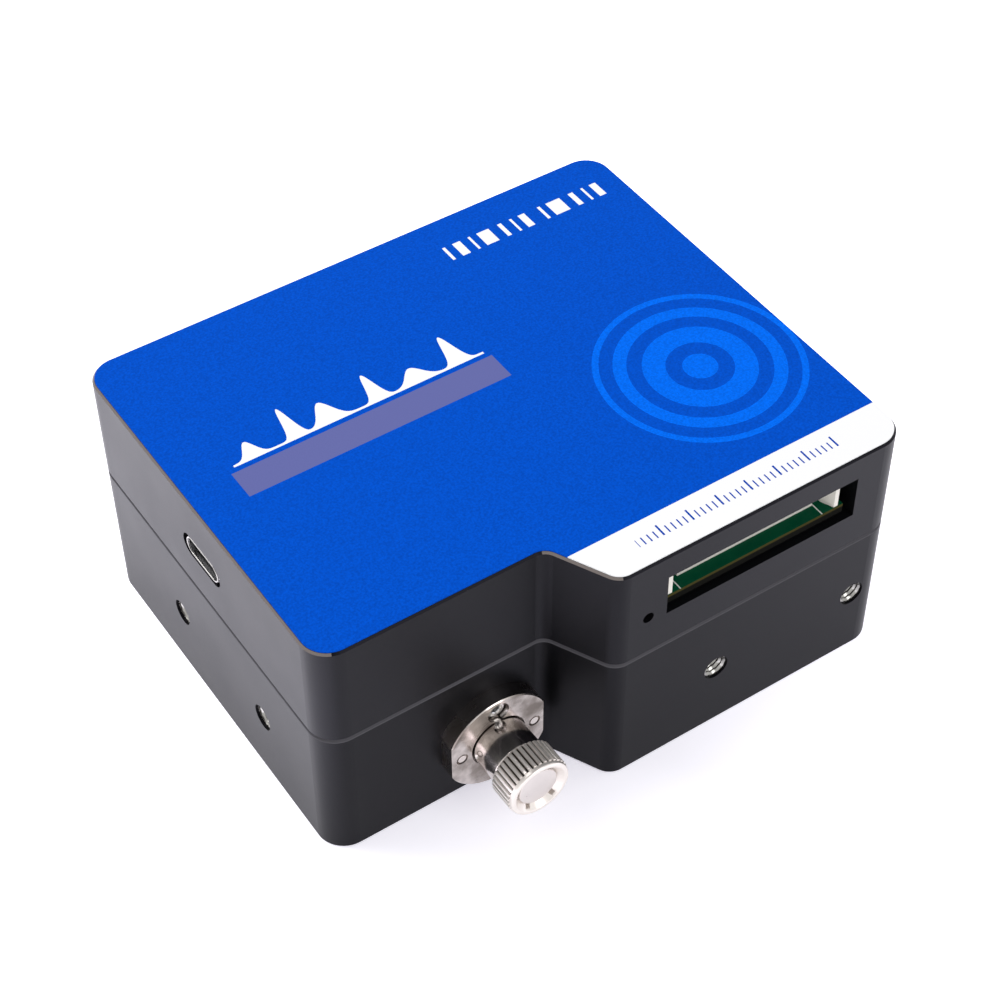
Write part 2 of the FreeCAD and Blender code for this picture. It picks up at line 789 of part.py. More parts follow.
def port_flange():
    body = new_body("flange_body")
    disc = sketch_on(body, "flange_disc_outline")
    circles(disc, [(Length(0, "0"), Length(0, "0"))], s.flange_radius)
    pad(body, "flange_disc", disc, s.flange_thickness)
    flats = sketch_on(body, "flange_flat_outline", height=s.flange_thickness)
    reach = s.flange_radius + 1
    loop(flats, rectangle(s.flange_half_width, -reach, reach, reach))
    loop(flats, rectangle(-reach, -reach, -s.flange_half_width, reach))
    pocket(body, "flange_flats", flats, s.flange_thickness)
    chamfer_outer_edges(body, "flange_edge", SIZES["flange_thickness"], s.edge_chamfer / 2)
    recess = sketch_on(body, "flange_recess_outline", height=s.flange_thickness)
    circles(recess, [(Length(0, "0"), Length(0, "0"))], s.flange_recess_radius)
    pocket(body, "flange_recess", recess, s.flange_recess_depth)
    upright = [(Length(0, "0"), side * s.flange_fixing_offset) for side in (-1, 1)]
    level = [(side * s.flange_fixing_offset, Length(0, "0")) for side in (-1, 1)]
    for name, spots, radius, depth in (
        ("barrel", [(Length(0, "0"), Length(0, "0"))],
         s.barrel_radius + s.barrel_hole_gap, s.flange_thickness),
        ("counterbore", upright, s.flange_bore_radius, s.flange_bore_depth),
        ("screw", upright, s.flange_screw_radius + s.tapped_hole_gap, s.flange_thickness),
        ("pin_ring", level, s.pin_ring_radius, s.pin_ring_depth),
        ("pin", level, s.pin_radius + s.tapped_hole_gap, s.flange_thickness),
    ):
        hole = sketch_on(body, f"flange_{name}_outline", height=s.flange_thickness)
        circles(hole, spots, radius)
        pocket(body, f"flange_{name}_hole", hole, depth)
    return part(lay_on_front(body), "port_flange")


def flange_fixings():
    seat = s.flange_thickness - s.flange_bore_depth
    screws = []
    for index, (x, z) in enumerate(flange_screw_spots()):
        spot = (x, RECESSED_FRONT - seat, z)
        head = rod(f"flange_head_{index}", spot, "-y", s.flange_screw_head_radius, s.flange_screw_head_height)
        shank = rod(f"flange_shank_{index}", spot, "+y", s.flange_screw_radius, seat + s.flange_screw_reach)
        key = rod(f"flange_key_{index}", (x, RECESSED_FRONT - seat - s.flange_screw_head_height, z), "+y",
                  s.flange_screw_radius * 0.8, s.flange_screw_head_height / 2)
        screws.append(less(f"flange_screw_{index}", fused(f"flange_blank_{index}", [head, shank]), [key]))
    part(fused("flange_screw_set", screws), "flange_screws")
    pins = []
    for index, (x, z) in enumerate(flange_pin_spots()):
        spot = (x, RECESSED_FRONT - s.flange_thickness + s.pin_sink, z)
        length = s.flange_thickness - s.pin_sink + s.pin_reach
        pins.append(rod(f"flange_pin_{index}", spot, "+y", s.pin_radius, length))
    part(fused("flange_pin_set", pins), "flange_pins")


def fiber_socket():
    """The bulkhead socket: a smooth barrel through the wall, with a neck that the cap screws onto."""
    zero = Length(0, "0")
    neck_end = plug_collar() - s.cap_run_gap
    seat = -s.barrel_back + s.slit_seat_depth
    body = turned("socket", [
        (s.ferrule_bore_radius, seat),
        (s.slit_seat_radius + s.seat_gap, seat),
        (s.slit_seat_radius + s.seat_gap, -s.barrel_back),
        (s.barrel_radius, -s.barrel_back),
        (s.barrel_radius, s.barrel_front - s.cap_edge),
        (s.barrel_radius - s.cap_edge, s.barrel_front),
        (s.neck_radius, s.barrel_front),
        (s.neck_radius, neck_end),
        (s.ferrule_bore_radius, neck_end),
    ])
    dimple = sketch_on(body, "dimple_outline", "YZ_Plane", -s.barrel_radius)
    circles(dimple, [(zero, s.dimple_place)], s.dimple_radius)
    pocket(body, "dimple", dimple, s.dimple_depth, flipped=True)
    return part(lay_on_front(body), "fiber_socket")


def slit_parts():
    seat = -s.barrel_back + s.slit_seat_depth
    zero = Length(0, "0")
    plate = rod("slit_disc", (zero, zero, seat - s.slit_thickness), "+z",
                s.slit_seat_radius, s.slit_thickness)
    opening = block("slit_opening", (-s.slit_width / 2, -s.slit_length / 2, seat - s.slit_thickness),
                    (s.slit_width, s.slit_length, s.slit_thickness))
    part(lay_on_front(less("slit_blank", plate, [opening])), "slit_plate")
    back = seat - s.slit_thickness - s.retainer_thickness
    ring = rod("retainer_disc", (zero, zero, back), "+z", s.slit_seat_radius, s.retainer_thickness)
    bore = rod("retainer_bore", (zero, zero, back), "+z", s.retainer_bore_radius, s.retainer_thickness)
    part(lay_on_front(less("retainer_blank", ring, [bore])), "slit_retainer")


def socket_nut():
    foot = -s.wall - s.port_boss_depth - s.nut_thickness
    zero = Length(0, "0")
    hexagon = doc.addObject("Part::Prism", "nut_hexagon")
    hexagon.Polygon = 6
    bind(hexagon, "Circumradius", s.nut_half_width / math.cos(math.radians(30)))
    bind(hexagon, "Height", s.nut_thickness)
    place(hexagon, zero, zero, foot)
    bore = rod("nut_bore", (zero, zero, foot), "+z", s.barrel_radius + s.barrel_hole_gap, s.nut_thickness)
    part(lay_on_front(less("nut_blank", hexagon, [bore])), "socket_nut")


def cap_back():
    return s.barrel_front + s.cap_gap


def knurled_cap():
    """The screw cap's ring: straight knurling round it and two key notches in its rim."""
    zero = Length(0, "0")
    bore = s.neck_radius + s.cap_run_gap
    shoulder = s.cap_recess_floor
    body = turned("cap", [
        (bore, cap_back()),
        (s.cap_radius, cap_back()),
        (s.cap_radius, s.cap_knurl_end),
        (s.cap_rim_radius, s.cap_knurl_end),
        (s.cap_rim_radius, s.cap_end - s.cap_edge),
        (s.cap_rim_radius - s.cap_edge, s.cap_end),
        (s.cap_recess_radius + s.cap_recess_slope, s.cap_end),
        (s.cap_recess_radius, shoulder),
        (s.cap_lip_radius, shoulder),
        (s.cap_lip_radius, shoulder - s.cap_lip_thickness),
        (bore, shoulder - s.cap_lip_thickness),
    ])
    notches = sketch_on(body, "key_notch_outline", height=s.cap_end)
    spots = []
    for angle in (s.key_notch_left, s.key_notch_right):
        spots.append((s.key_notch_place * cosine(angle), s.key_notch_place * sine(angle)))
    circles(notches, spots, s.key_notch_radius)
    pocket(body, "key_notches", notches, s.cap_end - s.cap_recess_floor)
    flute = sketch_on(body, "flute_outline", height=s.cap_knurl_end)
    loop(flute, [
        (s.cap_radius - s.knurl_depth, zero),
        (s.cap_radius + s.knurl_depth, -s.knurl_half_width * 2),
        (s.cap_radius + s.knurl_depth, s.knurl_half_width * 2),
    ])
    cut = pocket(body, "flute", flute, s.cap_knurl_end - cap_back())
    ring = body.newObject("PartDesign::PolarPattern", "knurling")
    ring.Originals = [cut]
    ring.Axis = (flute, ["N_Axis"])
    ring.Angle = 360
    ring.Occurrences = round(SIZES["knurl_count"])
    body.Tip = ring
    doc.recompute()
    return part(lay_on_front(body), "knurled_cap")


def plug_collar():
    """Where the collar behind the ring's lip begins."""
    return s.cap_recess_floor - s.cap_lip_thickness - s.cap_run_gap - s.plug_thickness


def cap_plug():
    """The cap's end disc, riveted loosely through the ring's lip, with the pin that closes the fibre bore."""
    zero = Length(0, "0")
    collar = plug_collar()
    front = s.cap_recess_floor + s.cap_run_gap
    waist = s.cap_lip_radius - s.cap_run_gap
    body = turned("plug", [
        (zero, collar - s.plug_pin_length),
        (s.plug_pin_radius, collar - s.plug_pin_length),
        (s.plug_pin_radius, collar),
        (s.neck_radius - s.cap_run_gap, collar),
        (s.neck_radius - s.cap_run_gap, collar + s.plug_thickness),
        (waist, collar + s.plug_thickness),
        (waist, front),
        (s.cap_recess_radius - s.cap_run_gap, front),
        (s.cap_recess_radius - s.cap_run_gap, front + s.plug_thickness),
        (zero, front + s.plug_thickness),
    ])
    return part(lay_on_front(body), "cap_plug")


# Mirrors, grating and baffles. Each stands with its face towards -Y and is then turned about the vertical.


def stand(item, x, y, turn):
    item.Placement = Placement(Vector(), Rotation(Vector(0, 0, 1), number(turn)))
    place(item, x, y, Length(0, "0"))
    bind(item, "Placement.Rotation.Angle", turn)
    return item


OPTICS = {
    "collimator": (PORT_X, BACK - s.mirror_from_back, s.collimator_angle),
    "focus": (DETECTOR_X - s.focus_from_detector, BACK - s.mirror_from_back, s.focus_angle),
    "grating": (RIGHT - s.grating_from_right, RECESSED_FRONT + s.grating_from_recess, s.grating_angle),
}


def foot_screw_local():
    """Two places behind each mount, before it is turned."""
    behind = s.mount_lip + s.mount_thickness + s.foot_length / 2
    return [(side * s.foot_screw_offset, behind) for side in (-1, 1)]


def foot_screw_spots():
    spots = []
    for x, y, turn in OPTICS.values():
        for across, along in foot_screw_local():
            spots.append((x + across * cosine(turn) - along * sine(turn),
                          y + across * sine(turn) + along * cosine(turn)))
    return spots


def optic_mount(name, recess):
    """An upright block with a recess for its optic, on a foot that is screwed to the floor."""
    top = s.port_height + s.mount_top
    half = s.mount_width / 2
    upright = block(f"{name}_upright", (-half, s.mount_lip, s.floor_thickness),
                    (s.mount_width, s.mount_thickness, top - s.floor_thickness))
    foot = block(f"{name}_foot", (-half, s.mount_lip + s.mount_thickness, s.floor_thickness),
                 (s.mount_width, s.foot_length, s.foot_thickness))
    holes = []
    for index, (x, y) in enumerate(foot_screw_local()):
        hole = rod(f"{name}_hole_{index}", (x, y, s.floor_thickness), "+z",
                   s.foot_screw_radius + s.tapped_hole_gap, s.foot_thickness)
        holes.append(hole)
    return less(f"{name}_block", fused(f"{name}_shape", [upright, foot]), [recess] + holes)


def mirror(name, curve_radius):
    """A round mirror with a shallow concave face inside a flat rim."""
    zero = Length(0, "0")
    disc = rod(f"{name}_disc", (zero, zero, s.port_height), "+y", s.mirror_radius, s.mirror_thickness)
    ball = doc.addObject("Part::Sphere", f"{name}_ball")
    bind(ball, "Radius", curve_radius)
    aperture = s.mirror_radius - s.mirror_rim
    place(ball, zero, -root(curve_radius * curve_radius - aperture * aperture), s.port_height)
    return less(f"{name}_glass", disc, [ball])


def optics():
    zero = Length(0, "0")
    mirrors = (
        ("collimator", "collimating_mirror", s.collimator_curve_radius),
        ("focus", "focusing_mirror", s.focus_curve_radius),
    )
    for name, label, curve_radius in mirrors:
        stand(part(mirror(name, curve_radius), label), *OPTICS[name])
        recess = rod(f"{name}_recess", (zero, zero, s.port_height), "+y",
                     s.mirror_radius + s.seat_gap, s.mirror_thickness)
        stand(part(optic_mount(name, recess), f"{name}_mount"), *OPTICS[name])
    half = s.grating_size / 2
    plate = block("grating_plate", (-half, zero, s.port_height - half),
                  (s.grating_size, s.grating_thickness, s.grating_size))
    ruled = s.ruled_size / 2
    ruling = block("grating_ruling", (-ruled, zero, s.port_height - ruled),
                   (ruled * 2, s.ruled_depth, ruled * 2))
    stand(part(less("grating_blank", plate, [ruling]), "diffraction_grating"), *OPTICS["grating"])
    room = half + s.seat_gap
    recess = block("grating_recess", (-room, zero, s.port_height - room),
                   (room * 2, s.grating_thickness, room * 2))
    stand(part(optic_mount("grating", recess), "grating_mount"), *OPTICS["grating"])
    screws = []
    seat = s.floor_thickness + s.foot_thickness
    for index, (x, y) in enumerate(foot_screw_spots()):
        head = rod(f"foot_head_{index}", (x, y, seat), "+z",
                   s.foot_screw_head_radius, s.foot_screw_head_height)
        shank = rod(f"foot_shank_{index}", (x, y, s.floor_thickness - s.foot_screw_reach), "+z",
                    s.foot_screw_radius, s.foot_thickness + s.foot_screw_reach)
        screws.append(fused(f"foot_screw_{index}", [head, shank]))
    part(fused("foot_screw_set", screws), "mount_screws")


def baffles():
    """Two bent sheets: one beside the entrance beam, one with a window before the detector."""
    t = s.baffle_thickness
    length = s.entrance_baffle_length
    low = (PORT_X + s.entrance_baffle_from_port, RECESSED_FRONT + s.entrance_baffle_from_recess,
           s.floor_thickness)
    wall = block("entrance_sheet", low, (t, length, s.baffle_height))
    foot = block("entrance_foot", low, (s.baffle_foot, length, t))
    part(fused("entrance_baffle_sheet", [wall, foot]), "entrance_baffle")
    left = DETECTOR_X - s.detector_baffle_width / 2
    baffle_y = FRONT + s.detector_baffle_from_front
    low = (left, baffle_y, s.floor_thickness)
    wall = block("detector_sheet", low, (s.detector_baffle_width, t, s.baffle_height))
    foot = block("detector_foot", low, (s.detector_baffle_width, s.baffle_foot, t))
    window = block("detector_opening",
                   (DETECTOR_X - s.baffle_window_width / 2, baffle_y,
                    s.port_height - s.baffle_window_height / 2),
                   (s.baffle_window_width, t, s.baffle_window_height))
    part(less("detector_baffle_sheet", fused("detector_bend", [wall, foot]), [window]), "detector_baffle")


# The detector, stacked from the step's front wall towards the beam


def centred(name, x, y, z, size):
    """A block centred on x and z that starts at y."""
    return block(name, (x - size[0] / 2, y, z - size[2] / 2), size)


def detector_stack():
    x, z = DETECTOR_X, s.port_height
    wall_face = FRONT + s.wall
    cooler_y = wall_face + s.spreader_thickness
    cold_face = cooler_y + s.cooler_thickness
    board_y = cold_face - s.detector_board_thickness
    part(centred("spreader_block", x, wall_face, z,
                 (s.spreader_width, s.spreader_thickness, s.spreader_height)),
         "heat_spreader")
    part(centred("cooler_block", x, cooler_y, z, (s.cooler_size, s.cooler_thickness, s.cooler_size)),
         "thermoelectric_cooler")
    low = (x - s.detector_board_width / 2, board_y, s.floor_thickness)
    sheet_block = block("detector_board_sheet", low,
                        (s.detector_board_width, s.detector_board_thickness, s.detector_board_height))
    room = s.cooler_size + s.cooler_window_gap * 2
    opening = centred("cooler_window", x, board_y, z, (room, s.detector_board_thickness, room))
    part(less("detector_board_blank", sheet_block, [opening]), "detector_board")

    shell = centred("package_shell", x, cold_face, z,
                    (s.package_width, s.package_thickness, s.package_height))
    leads = [shell]
    lead_count = 8
    for row in (-1, 1):
        for index in range(lead_count):
            at = x + (index - (lead_count - 1) / 2) * s.package_width / (lead_count + 1)
            foot = z + row * (s.package_height + s.package_lead_length) / 2
            size = (s.package_lead_thickness * 2, s.package_lead_thickness, s.package_lead_length)
            leads.append(centred(f"lead_{row}_{index}", at, cold_face, foot, size))
    face = cold_face + s.package_thickness
    recess = centred("package_recess", x, face - s.window_thickness, z,
                     (s.window_width, s.window_thickness, s.window_height))
    part(less("package_blank", fused("package_with_leads", leads), [recess]), "detector_package")
    part(centred("window_pane", x, face - s.window_thickness, z,
                 (s.window_width, s.window_thickness, s.window_height)), "detector_window")
    part(centred("filter_pane", x, face, z, (s.filter_width, s.filter_thickness, s.filter_height)),
         "order_filter")
    return cold_face


def flat_cable(board_face):
    """A ribbon that rises from the detector board and turns back under the main board."""
    header_top = s.floor_thickness + s.detector_board_height
    header_y = FRONT + s.cable_header_from_front
    low_header = block("low_header",
                       (DETECTOR_X - s.cable_header_width / 2, board_face,
                        header_top - s.cable_header_height),
                       (s.cable_header_width, s.cable_header_depth, s.cable_header_height))
    high_header = block("high_header",
                        (DETECTOR_X - s.cable_header_width / 2, header_y,
                         BOARD_UNDERSIDE - s.cable_header_depth),
                        (s.cable_header_width, s.cable_header_height, s.cable_header_depth))
    part(fused("cable_header_pair", [low_header, high_header]), "cable_headers")
    body = new_body("cable_body")
    ribbon = sketch_on(body, "cable_profile", "YZ_Plane", DETECTOR_X - s.cable_width / 2)
    near = board_face + s.cable_header_depth / 2
    level = BOARD_UNDERSIDE - s.cable_header_depth / 2
    thick = s.cable_thickness
    loop(ribbon, [
        (near, header_top),
        (near + thick, header_top),
        (near + thick, level - thick, s.cable_bend_radius),
        (header_y, level - thick),
        (header_y, level),
        (near, level, s.cable_bend_radius + thick),
    ])
    pad(body, "cable_ribbon", ribbon, s.cable_width)
    return part(body, "detector_cable")


# The main board with what it carries


def main_board():
    body = new_body("board_body")
    sheet_outline = sketch_on(body, "board_outline", height=BOARD_UNDERSIDE)
    left = LEFT + s.wall + s.board_side_gap
    right = RIGHT - s.wall - s.board_side_gap
    notch_back = LEFT + s.socket_sink + s.socket_depth + s.cooler_window_gap
    half = s.socket_length / 2 + s.cooler_window_gap
    board_front, board_back = FRONT + s.board_from_front, BACK - s.board_from_back
    tab_right = RIGHT - s.tab_from_right
    tab_left = tab_right - s.tab_width
    ear_left = tab_left - s.lamp_ear_width
    ear_front = lamp_front() + s.led_depth / 4
    loop(sheet_outline, [
        (left, board_front),
        (tab_left, board_front),
        (tab_left, ear_front + s.lamp_ear_depth),
        (ear_left, ear_front + s.lamp_ear_depth),
        (ear_left, ear_front),
        (tab_left, ear_front),
        (tab_left, FRONT + s.tab_sink),
        (tab_right, FRONT + s.tab_sink),
        (tab_right, board_front),
        (right, board_front),
        (right, board_back),
        (left, board_back),
        (left, s.socket_y + half),
        (notch_back, s.socket_y + half),
        (notch_back, s.socket_y - half),
        (left, s.socket_y - half),
    ])
    pad(body, "board_sheet", sheet_outline, s.board_thickness)
    holes = sketch_on(body, "board_hole_outline", height=BOARD_TOP)
    circles(holes, standoff_spots(), s.board_screw_hole_radius)
    pocket(body, "board_holes", holes, s.board_thickness)
    return part(body, "main_board")


def board_fixings():
    pillars = []
    screws = []
    for index, (x, y) in enumerate(standoff_spots()):
        pillar = rod(f"pillar_{index}", (x, y, BOARD_TOP), "+z", s.standoff_radius, ROOF - BOARD_TOP)
        stud = rod(f"pillar_stud_{index}", (x, y, ROOF), "+z", s.board_screw_radius, s.standoff_stud_length)
        bore = rod(f"pillar_bore_{index}", (x, y, BOARD_TOP), "+z", s.board_screw_radius + s.tapped_hole_gap,
                   s.board_screw_reach + s.tapped_hole_gap * 4)
        pillars.append(less(f"standoff_{index}", fused(f"pillar_blank_{index}", [pillar, stud]), [bore]))
        head_foot = BOARD_UNDERSIDE - s.board_screw_head_height
        head = rod(f"board_head_{index}", (x, y, head_foot), "+z",
                   s.board_screw_head_radius, s.board_screw_head_height)
        shank = rod(f"board_shank_{index}", (x, y, BOARD_UNDERSIDE), "+z", s.board_screw_radius,
                    s.board_thickness + s.board_screw_reach)
        screws.append(fused(f"board_screw_{index}", [head, shank]))
    part(fused("standoff_set", pillars), "board_standoffs")
    part(fused("board_screw_set", screws), "board_screws")


def chips():
    """The larger packages on the board: processor, converter and memory, in a row across the middle."""
    pieces = []
    for place_in_row, width in enumerate((s.memory_width, s.processor_width, s.converter_width)):
        x = (place_in_row - 1) * s.chip_spacing
        low = (x - width / 2, -width / 2, BOARD_TOP)
        pieces.append(block(f"chip_{place_in_row}", low, (width, width, s.chip_thickness)))
    part(fused("chip_set", pieces), "board_chips")


def header_and_contacts():
    """The wide header behind the slot: a moulded box open to the front, with an ear at each end."""
    body = new_body("header_body")
    face = FRONT + s.header_face
    back = FRONT + s.header_back
    ear_front = FRONT + s.header_ear_front
    right = RIGHT - s.header_from_right
    left = right - s.header_width
    shoulder = s.header_ear_width + s.header_gap
    plan = sketch_on(body, "header_plan", height=BOARD_TOP)
    loop(plan, [
        (left, ear_front),
        (left + s.header_ear_tip, ear_front),
        (left + s.header_ear_width, face),
        (left + s.header_ear_width, face + s.header_gap_depth),
        (left + shoulder, face + s.header_gap_depth),
        (left + shoulder, face),
        (right - shoulder, face),
        (right - shoulder, face + s.header_gap_depth),
        (right - s.header_ear_width, face + s.header_gap_depth),
        (right - s.header_ear_width, face),
        (right - s.header_ear_tip, ear_front),
        (right, ear_front),
        (right, back),
        (left, back),
    ])
    pad(body, "header_block", plan, s.header_height)
    mouth = sketch_on(body, "header_mouth_outline", "XZ_Plane", -face)
    inner = shoulder + s.header_wall
    loop(mouth, rectangle(left + inner, BOARD_TOP + s.header_wall,
                          right - inner, BOARD_TOP + s.header_height - s.header_wall))
    pocket(body, "header_mouth", mouth, s.header_mouth_depth)
    part(body, "io_header")
    floor = face + s.header_mouth_depth
    middle = BOARD_TOP + s.header_height / 2
    centre = (left + right) / 2
    pins = []
    count = round(SIZES["contact_count"])
    for index in range(count):
        x = centre + (index - (count - 1) / 2) * s.contact_pitch
        pins.append(block(f"contact_{index}",
                          (x - s.contact_size / 2, floor - s.contact_length, middle - s.contact_size / 2),
                          (s.contact_size, s.contact_length, s.contact_size)))
    part(fused("contact_set", pins), "io_contacts")


def side_socket():
    """The reversible power and data socket, sunk into a notch of the board."""
    mouth = LEFT + s.socket_sink
    middle = socket_middle()
    body = new_body("socket_shell_body")
    shell = sketch_on(body, "socket_shell_outline", "YZ_Plane", mouth)
    loop(shell, stadium(s.socket_y, middle, s.socket_length, s.socket_height))
    inner_length = s.socket_length - s.socket_skin * 2
    inner_height = s.socket_height - s.socket_skin * 2
    loop(shell, stadium(s.socket_y, middle, inner_length, inner_height))
    pad(body, "socket_shell_tube", shell, s.socket_depth)
    back = mouth + s.socket_depth
    tab_length = s.socket_depth / 3
    reach = s.socket_length / 2 + s.cooler_window_gap + s.socket_tab_width
    tabs = sketch_on(body, "socket_tab_outline", height=BOARD_TOP)
    half = s.socket_length / 2 - s.socket_skin
    loop(tabs, rectangle(back - tab_length, s.socket_y + half, back, s.socket_y + reach))
    loop(tabs, rectangle(back - tab_length, s.socket_y - reach, back, s.socket_y - half))
    part(body, "usb_shell")
    block_low = (back - s.socket_block, s.socket_y - inner_length / 2 + inner_height / 2,
                 middle - inner_height / 2 + s.seat_gap)
    rear = block("socket_rear", block_low,
                 (s.socket_block, inner_length - inner_height, inner_height - s.seat_gap * 2))
    tongue = block("socket_blade",
                   (back - s.socket_block - s.tongue_length, s.socket_y - s.tongue_width / 2,
                    middle - s.tongue_height / 2),
                   (s.tongue_length, s.tongue_width, s.tongue_height))
    part(fused("socket_core", [rear, tongue]), "usb_tongue")


def lamp_front():
    return FRONT + s.guide_sink + s.guide_length


def indicator():
    """A light guide in the small round hole and the lamp that hangs from the board behind it."""
    start = (GUIDE_X, FRONT + s.guide_sink, GUIDE_Z)
    part(rod("guide_rod", start, "+y", s.guide_radius, s.guide_length), "light_guide")
    low = (GUIDE_X - s.led_width / 2, lamp_front(), BOARD_UNDERSIDE - s.led_height)
    size = (s.led_width, s.led_depth, s.led_height)
    body = block("lamp_body", low, size)
    dome = rod("lamp_dome", (GUIDE_X, lamp_front(), BOARD_UNDERSIDE - s.led_height / 2), "+y",
               s.led_height / 4, s.led_depth / 4)
    part(less("lamp_shape", body, [dome]), "status_led")


def checked():
    """Stops before anything is written if a feature failed or a sub-part isn't a sound solid."""
    doc.recompute()
    for item in doc.Objects:
        if {"Invalid", "Error"} & set(item.State):
            raise RuntimeError(f"{item.Label} failed: {item.State}")
    for item in PARTS:
        if item.Shape.isNull() or not item.Shape.isValid() or not item.Shape.Solids:
            raise RuntimeError(f"{item.Label} isn't a sound solid")


def build():
    base_housing()
    top_housing()
    housing_gasket()
    top_label()
    housing_screws()
    front_feet = [(x, FRONT + s.insert_recess, s.thread_hole_height) for x in FRONT_HOLES]
    side_feet = [(LEFT + s.insert_recess, y, s.thread_hole_height) for y in SIDE_HOLES]
    thread_inserts("front_thread_inserts", front_feet, "+y")
    thread_inserts("side_thread_inserts", side_feet, "+x")
    port_flange()
    flange_fixings()
    fiber_socket()
    slit_parts()
    socket_nut()
    knurled_cap()
    cap_plug()
    optics()
    baffles()
    flat_cable(detector_stack())
    main_board()
    board_fixings()
    chips()
    header_and_contacts()
    side_socket()
    indicator()


build()
checked()
os.makedirs("parts", exist_ok=True)
for item in PARTS:
    item.Shape.exportStep(os.path.join("parts", f"{item.Label}.step"))
    print(item.Label, len(item.Shape.Solids), "solids", round(item.Shape.Volume, 2), "mm3")
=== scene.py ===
import math

import bpy
import numpy as np
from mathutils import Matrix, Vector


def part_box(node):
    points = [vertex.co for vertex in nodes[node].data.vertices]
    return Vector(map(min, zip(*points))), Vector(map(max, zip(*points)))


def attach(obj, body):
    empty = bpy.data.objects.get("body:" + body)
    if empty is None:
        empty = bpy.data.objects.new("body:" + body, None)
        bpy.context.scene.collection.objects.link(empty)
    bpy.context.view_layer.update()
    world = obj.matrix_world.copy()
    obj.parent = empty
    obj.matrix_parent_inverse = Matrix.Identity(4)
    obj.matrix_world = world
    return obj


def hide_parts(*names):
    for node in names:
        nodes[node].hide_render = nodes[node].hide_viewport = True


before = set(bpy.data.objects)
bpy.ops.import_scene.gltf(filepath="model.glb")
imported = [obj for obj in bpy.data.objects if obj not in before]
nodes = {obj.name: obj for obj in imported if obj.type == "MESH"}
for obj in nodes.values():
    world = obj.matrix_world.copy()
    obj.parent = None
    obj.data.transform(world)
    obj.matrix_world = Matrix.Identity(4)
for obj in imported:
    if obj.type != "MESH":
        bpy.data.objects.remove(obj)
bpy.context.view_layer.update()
scene = bpy.context.scene
scene.view_settings.view_transform = "Standard"

# The camera stands high in front of the port's side and looks down on the lid with a long lens, as one
# photographs a small instrument on a table.
camera = bpy.data.objects.new("camera", bpy.data.cameras.new("camera"))
scene.collection.objects.link(camera)
camera.location = (-0.127510, -0.193803, 0.265612)
camera.rotation_euler = (0.76091, 0.00324, -0.59140)
camera.data.sensor_width = 36.0
camera.data.lens = 81.910
camera.data.clip_start = 0.01
scene.camera = camera

# A bright room with white walls and a dimmer ceiling, one wide lamp above the left back corner, a weaker
# one in front, and a white table with painted light glowing on it, strongest at the left, so the metal's
# left side comes out palest.
WALL_TOP = 0.35
WALL_LIGHT = 1.0
CEILING_LIGHT = 0.3
MM_PER_M = 1000.0

world = bpy.data.worlds.new("studio")
scene.world = world
world.use_nodes = True
room = world.node_tree
background = room.nodes["Background"]
background.inputs["Color"].default_value = (1.0, 1.0, 1.0, 1.0)


def calc(tree, operation, *values):
    """One arithmetic step between numbers and sockets."""
    node = tree.nodes.new("ShaderNodeMath")
    node.operation = operation
    for socket, value in zip(node.inputs, values):
        if isinstance(value, (int, float)):
            socket.default_value = value
        else:
            tree.links.new(value, socket)
    return node.outputs[0]


def seen_directly(tree):
    """1 for rays that show the surface itself, in a view, a reflection or through glass."""
    path = tree.nodes.new("ShaderNodeLightPath")
    mirrored = calc(tree, "MAXIMUM", path.outputs["Is Glossy Ray"], path.outputs["Is Transmission Ray"])
    return calc(tree, "MAXIMUM", path.outputs["Is Camera Ray"], mirrored)


def ramp(tree, value, low, high, at_low=0.0, at_high=1.0):
    """The value's place between low and high, stretched from at_low to at_high and held at the ends."""
    node = tree.nodes.new("ShaderNodeMapRange")
    for name, setting in (("From Min", low), ("From Max", high), ("To Min", at_low), ("To Max", at_high)):
        node.inputs[name].default_value = setting
    tree.links.new(value, node.inputs["Value"])
    return node.outputs["Result"]


def coordinates(tree, kind="Object", scale=MM_PER_M):
    """The three coordinates of a point as separate sockets, in millimetres unless a scale is given."""
    place = tree.nodes.new("ShaderNodeTexCoord")
    grow = tree.nodes.new("ShaderNodeVectorMath")
    grow.operation = "MULTIPLY"
    grow.inputs[1].default_value = (scale, scale, scale)
    tree.links.new(place.outputs[kind], grow.inputs[0])
    split = tree.nodes.new("ShaderNodeSeparateXYZ")
    tree.links.new(grow.outputs[0], split.inputs[0])
    return split.outputs["X"], split.outputs["Y"], split.outputs["Z"]


up = coordinates(room, "Generated", scale=1.0)[2]
room_light = ramp(room, up, WALL_TOP, 1.0, at_low=WALL_LIGHT, at_high=CEILING_LIGHT)
room.links.new(room_light, background.inputs["Strength"])

LIT_SPOT = (0, 0, 0.02)
LAMP_SIZE = 0.5


def lamp(name, place, watts):
    """A square area lamp at a place, turned to face the middle of the housing."""
    data = bpy.data.lights.new(name, "AREA")
    data.shape = "SQUARE"
    data.size = LAMP_SIZE
    data.energy = watts
    item = bpy.data.objects.new(name, data)
    scene.collection.objects.link(item)
    ahead = np.array(LIT_SPOT) - np.array(place)
    flat = math.hypot(ahead[0], ahead[1])
    item.location = place
    item.rotation_euler = (math.atan2(flat, -ahead[2]), 0.0, math.atan2(-ahead[0], ahead[1]))


lamp("key_lamp", (-0.35, 0.45, 0.75), watts=4.0)
lamp("front_lamp", (0.25, -0.9, 0.7), watts=2.2)

# The table is a sheet of white paper, a hair's breadth under the housing so that they don't share a plane.
# Its painted light, seen directly only, makes the white background and paints the reflections low on the
# metal: strongest at the left, stronger to the right where it fades the housing's shadow, and dimmer close
# to the housing's front as painted shade.
TABLE_HALF = 3.0
TABLE_GAP = 0.00005
PAPER_WHITE = 0.98
PAPER_PAINTED_LIGHT_TINT = (0.98, 0.95, 1.09, 1.0)
PAINTED_LIGHT_SKEW = 0.1

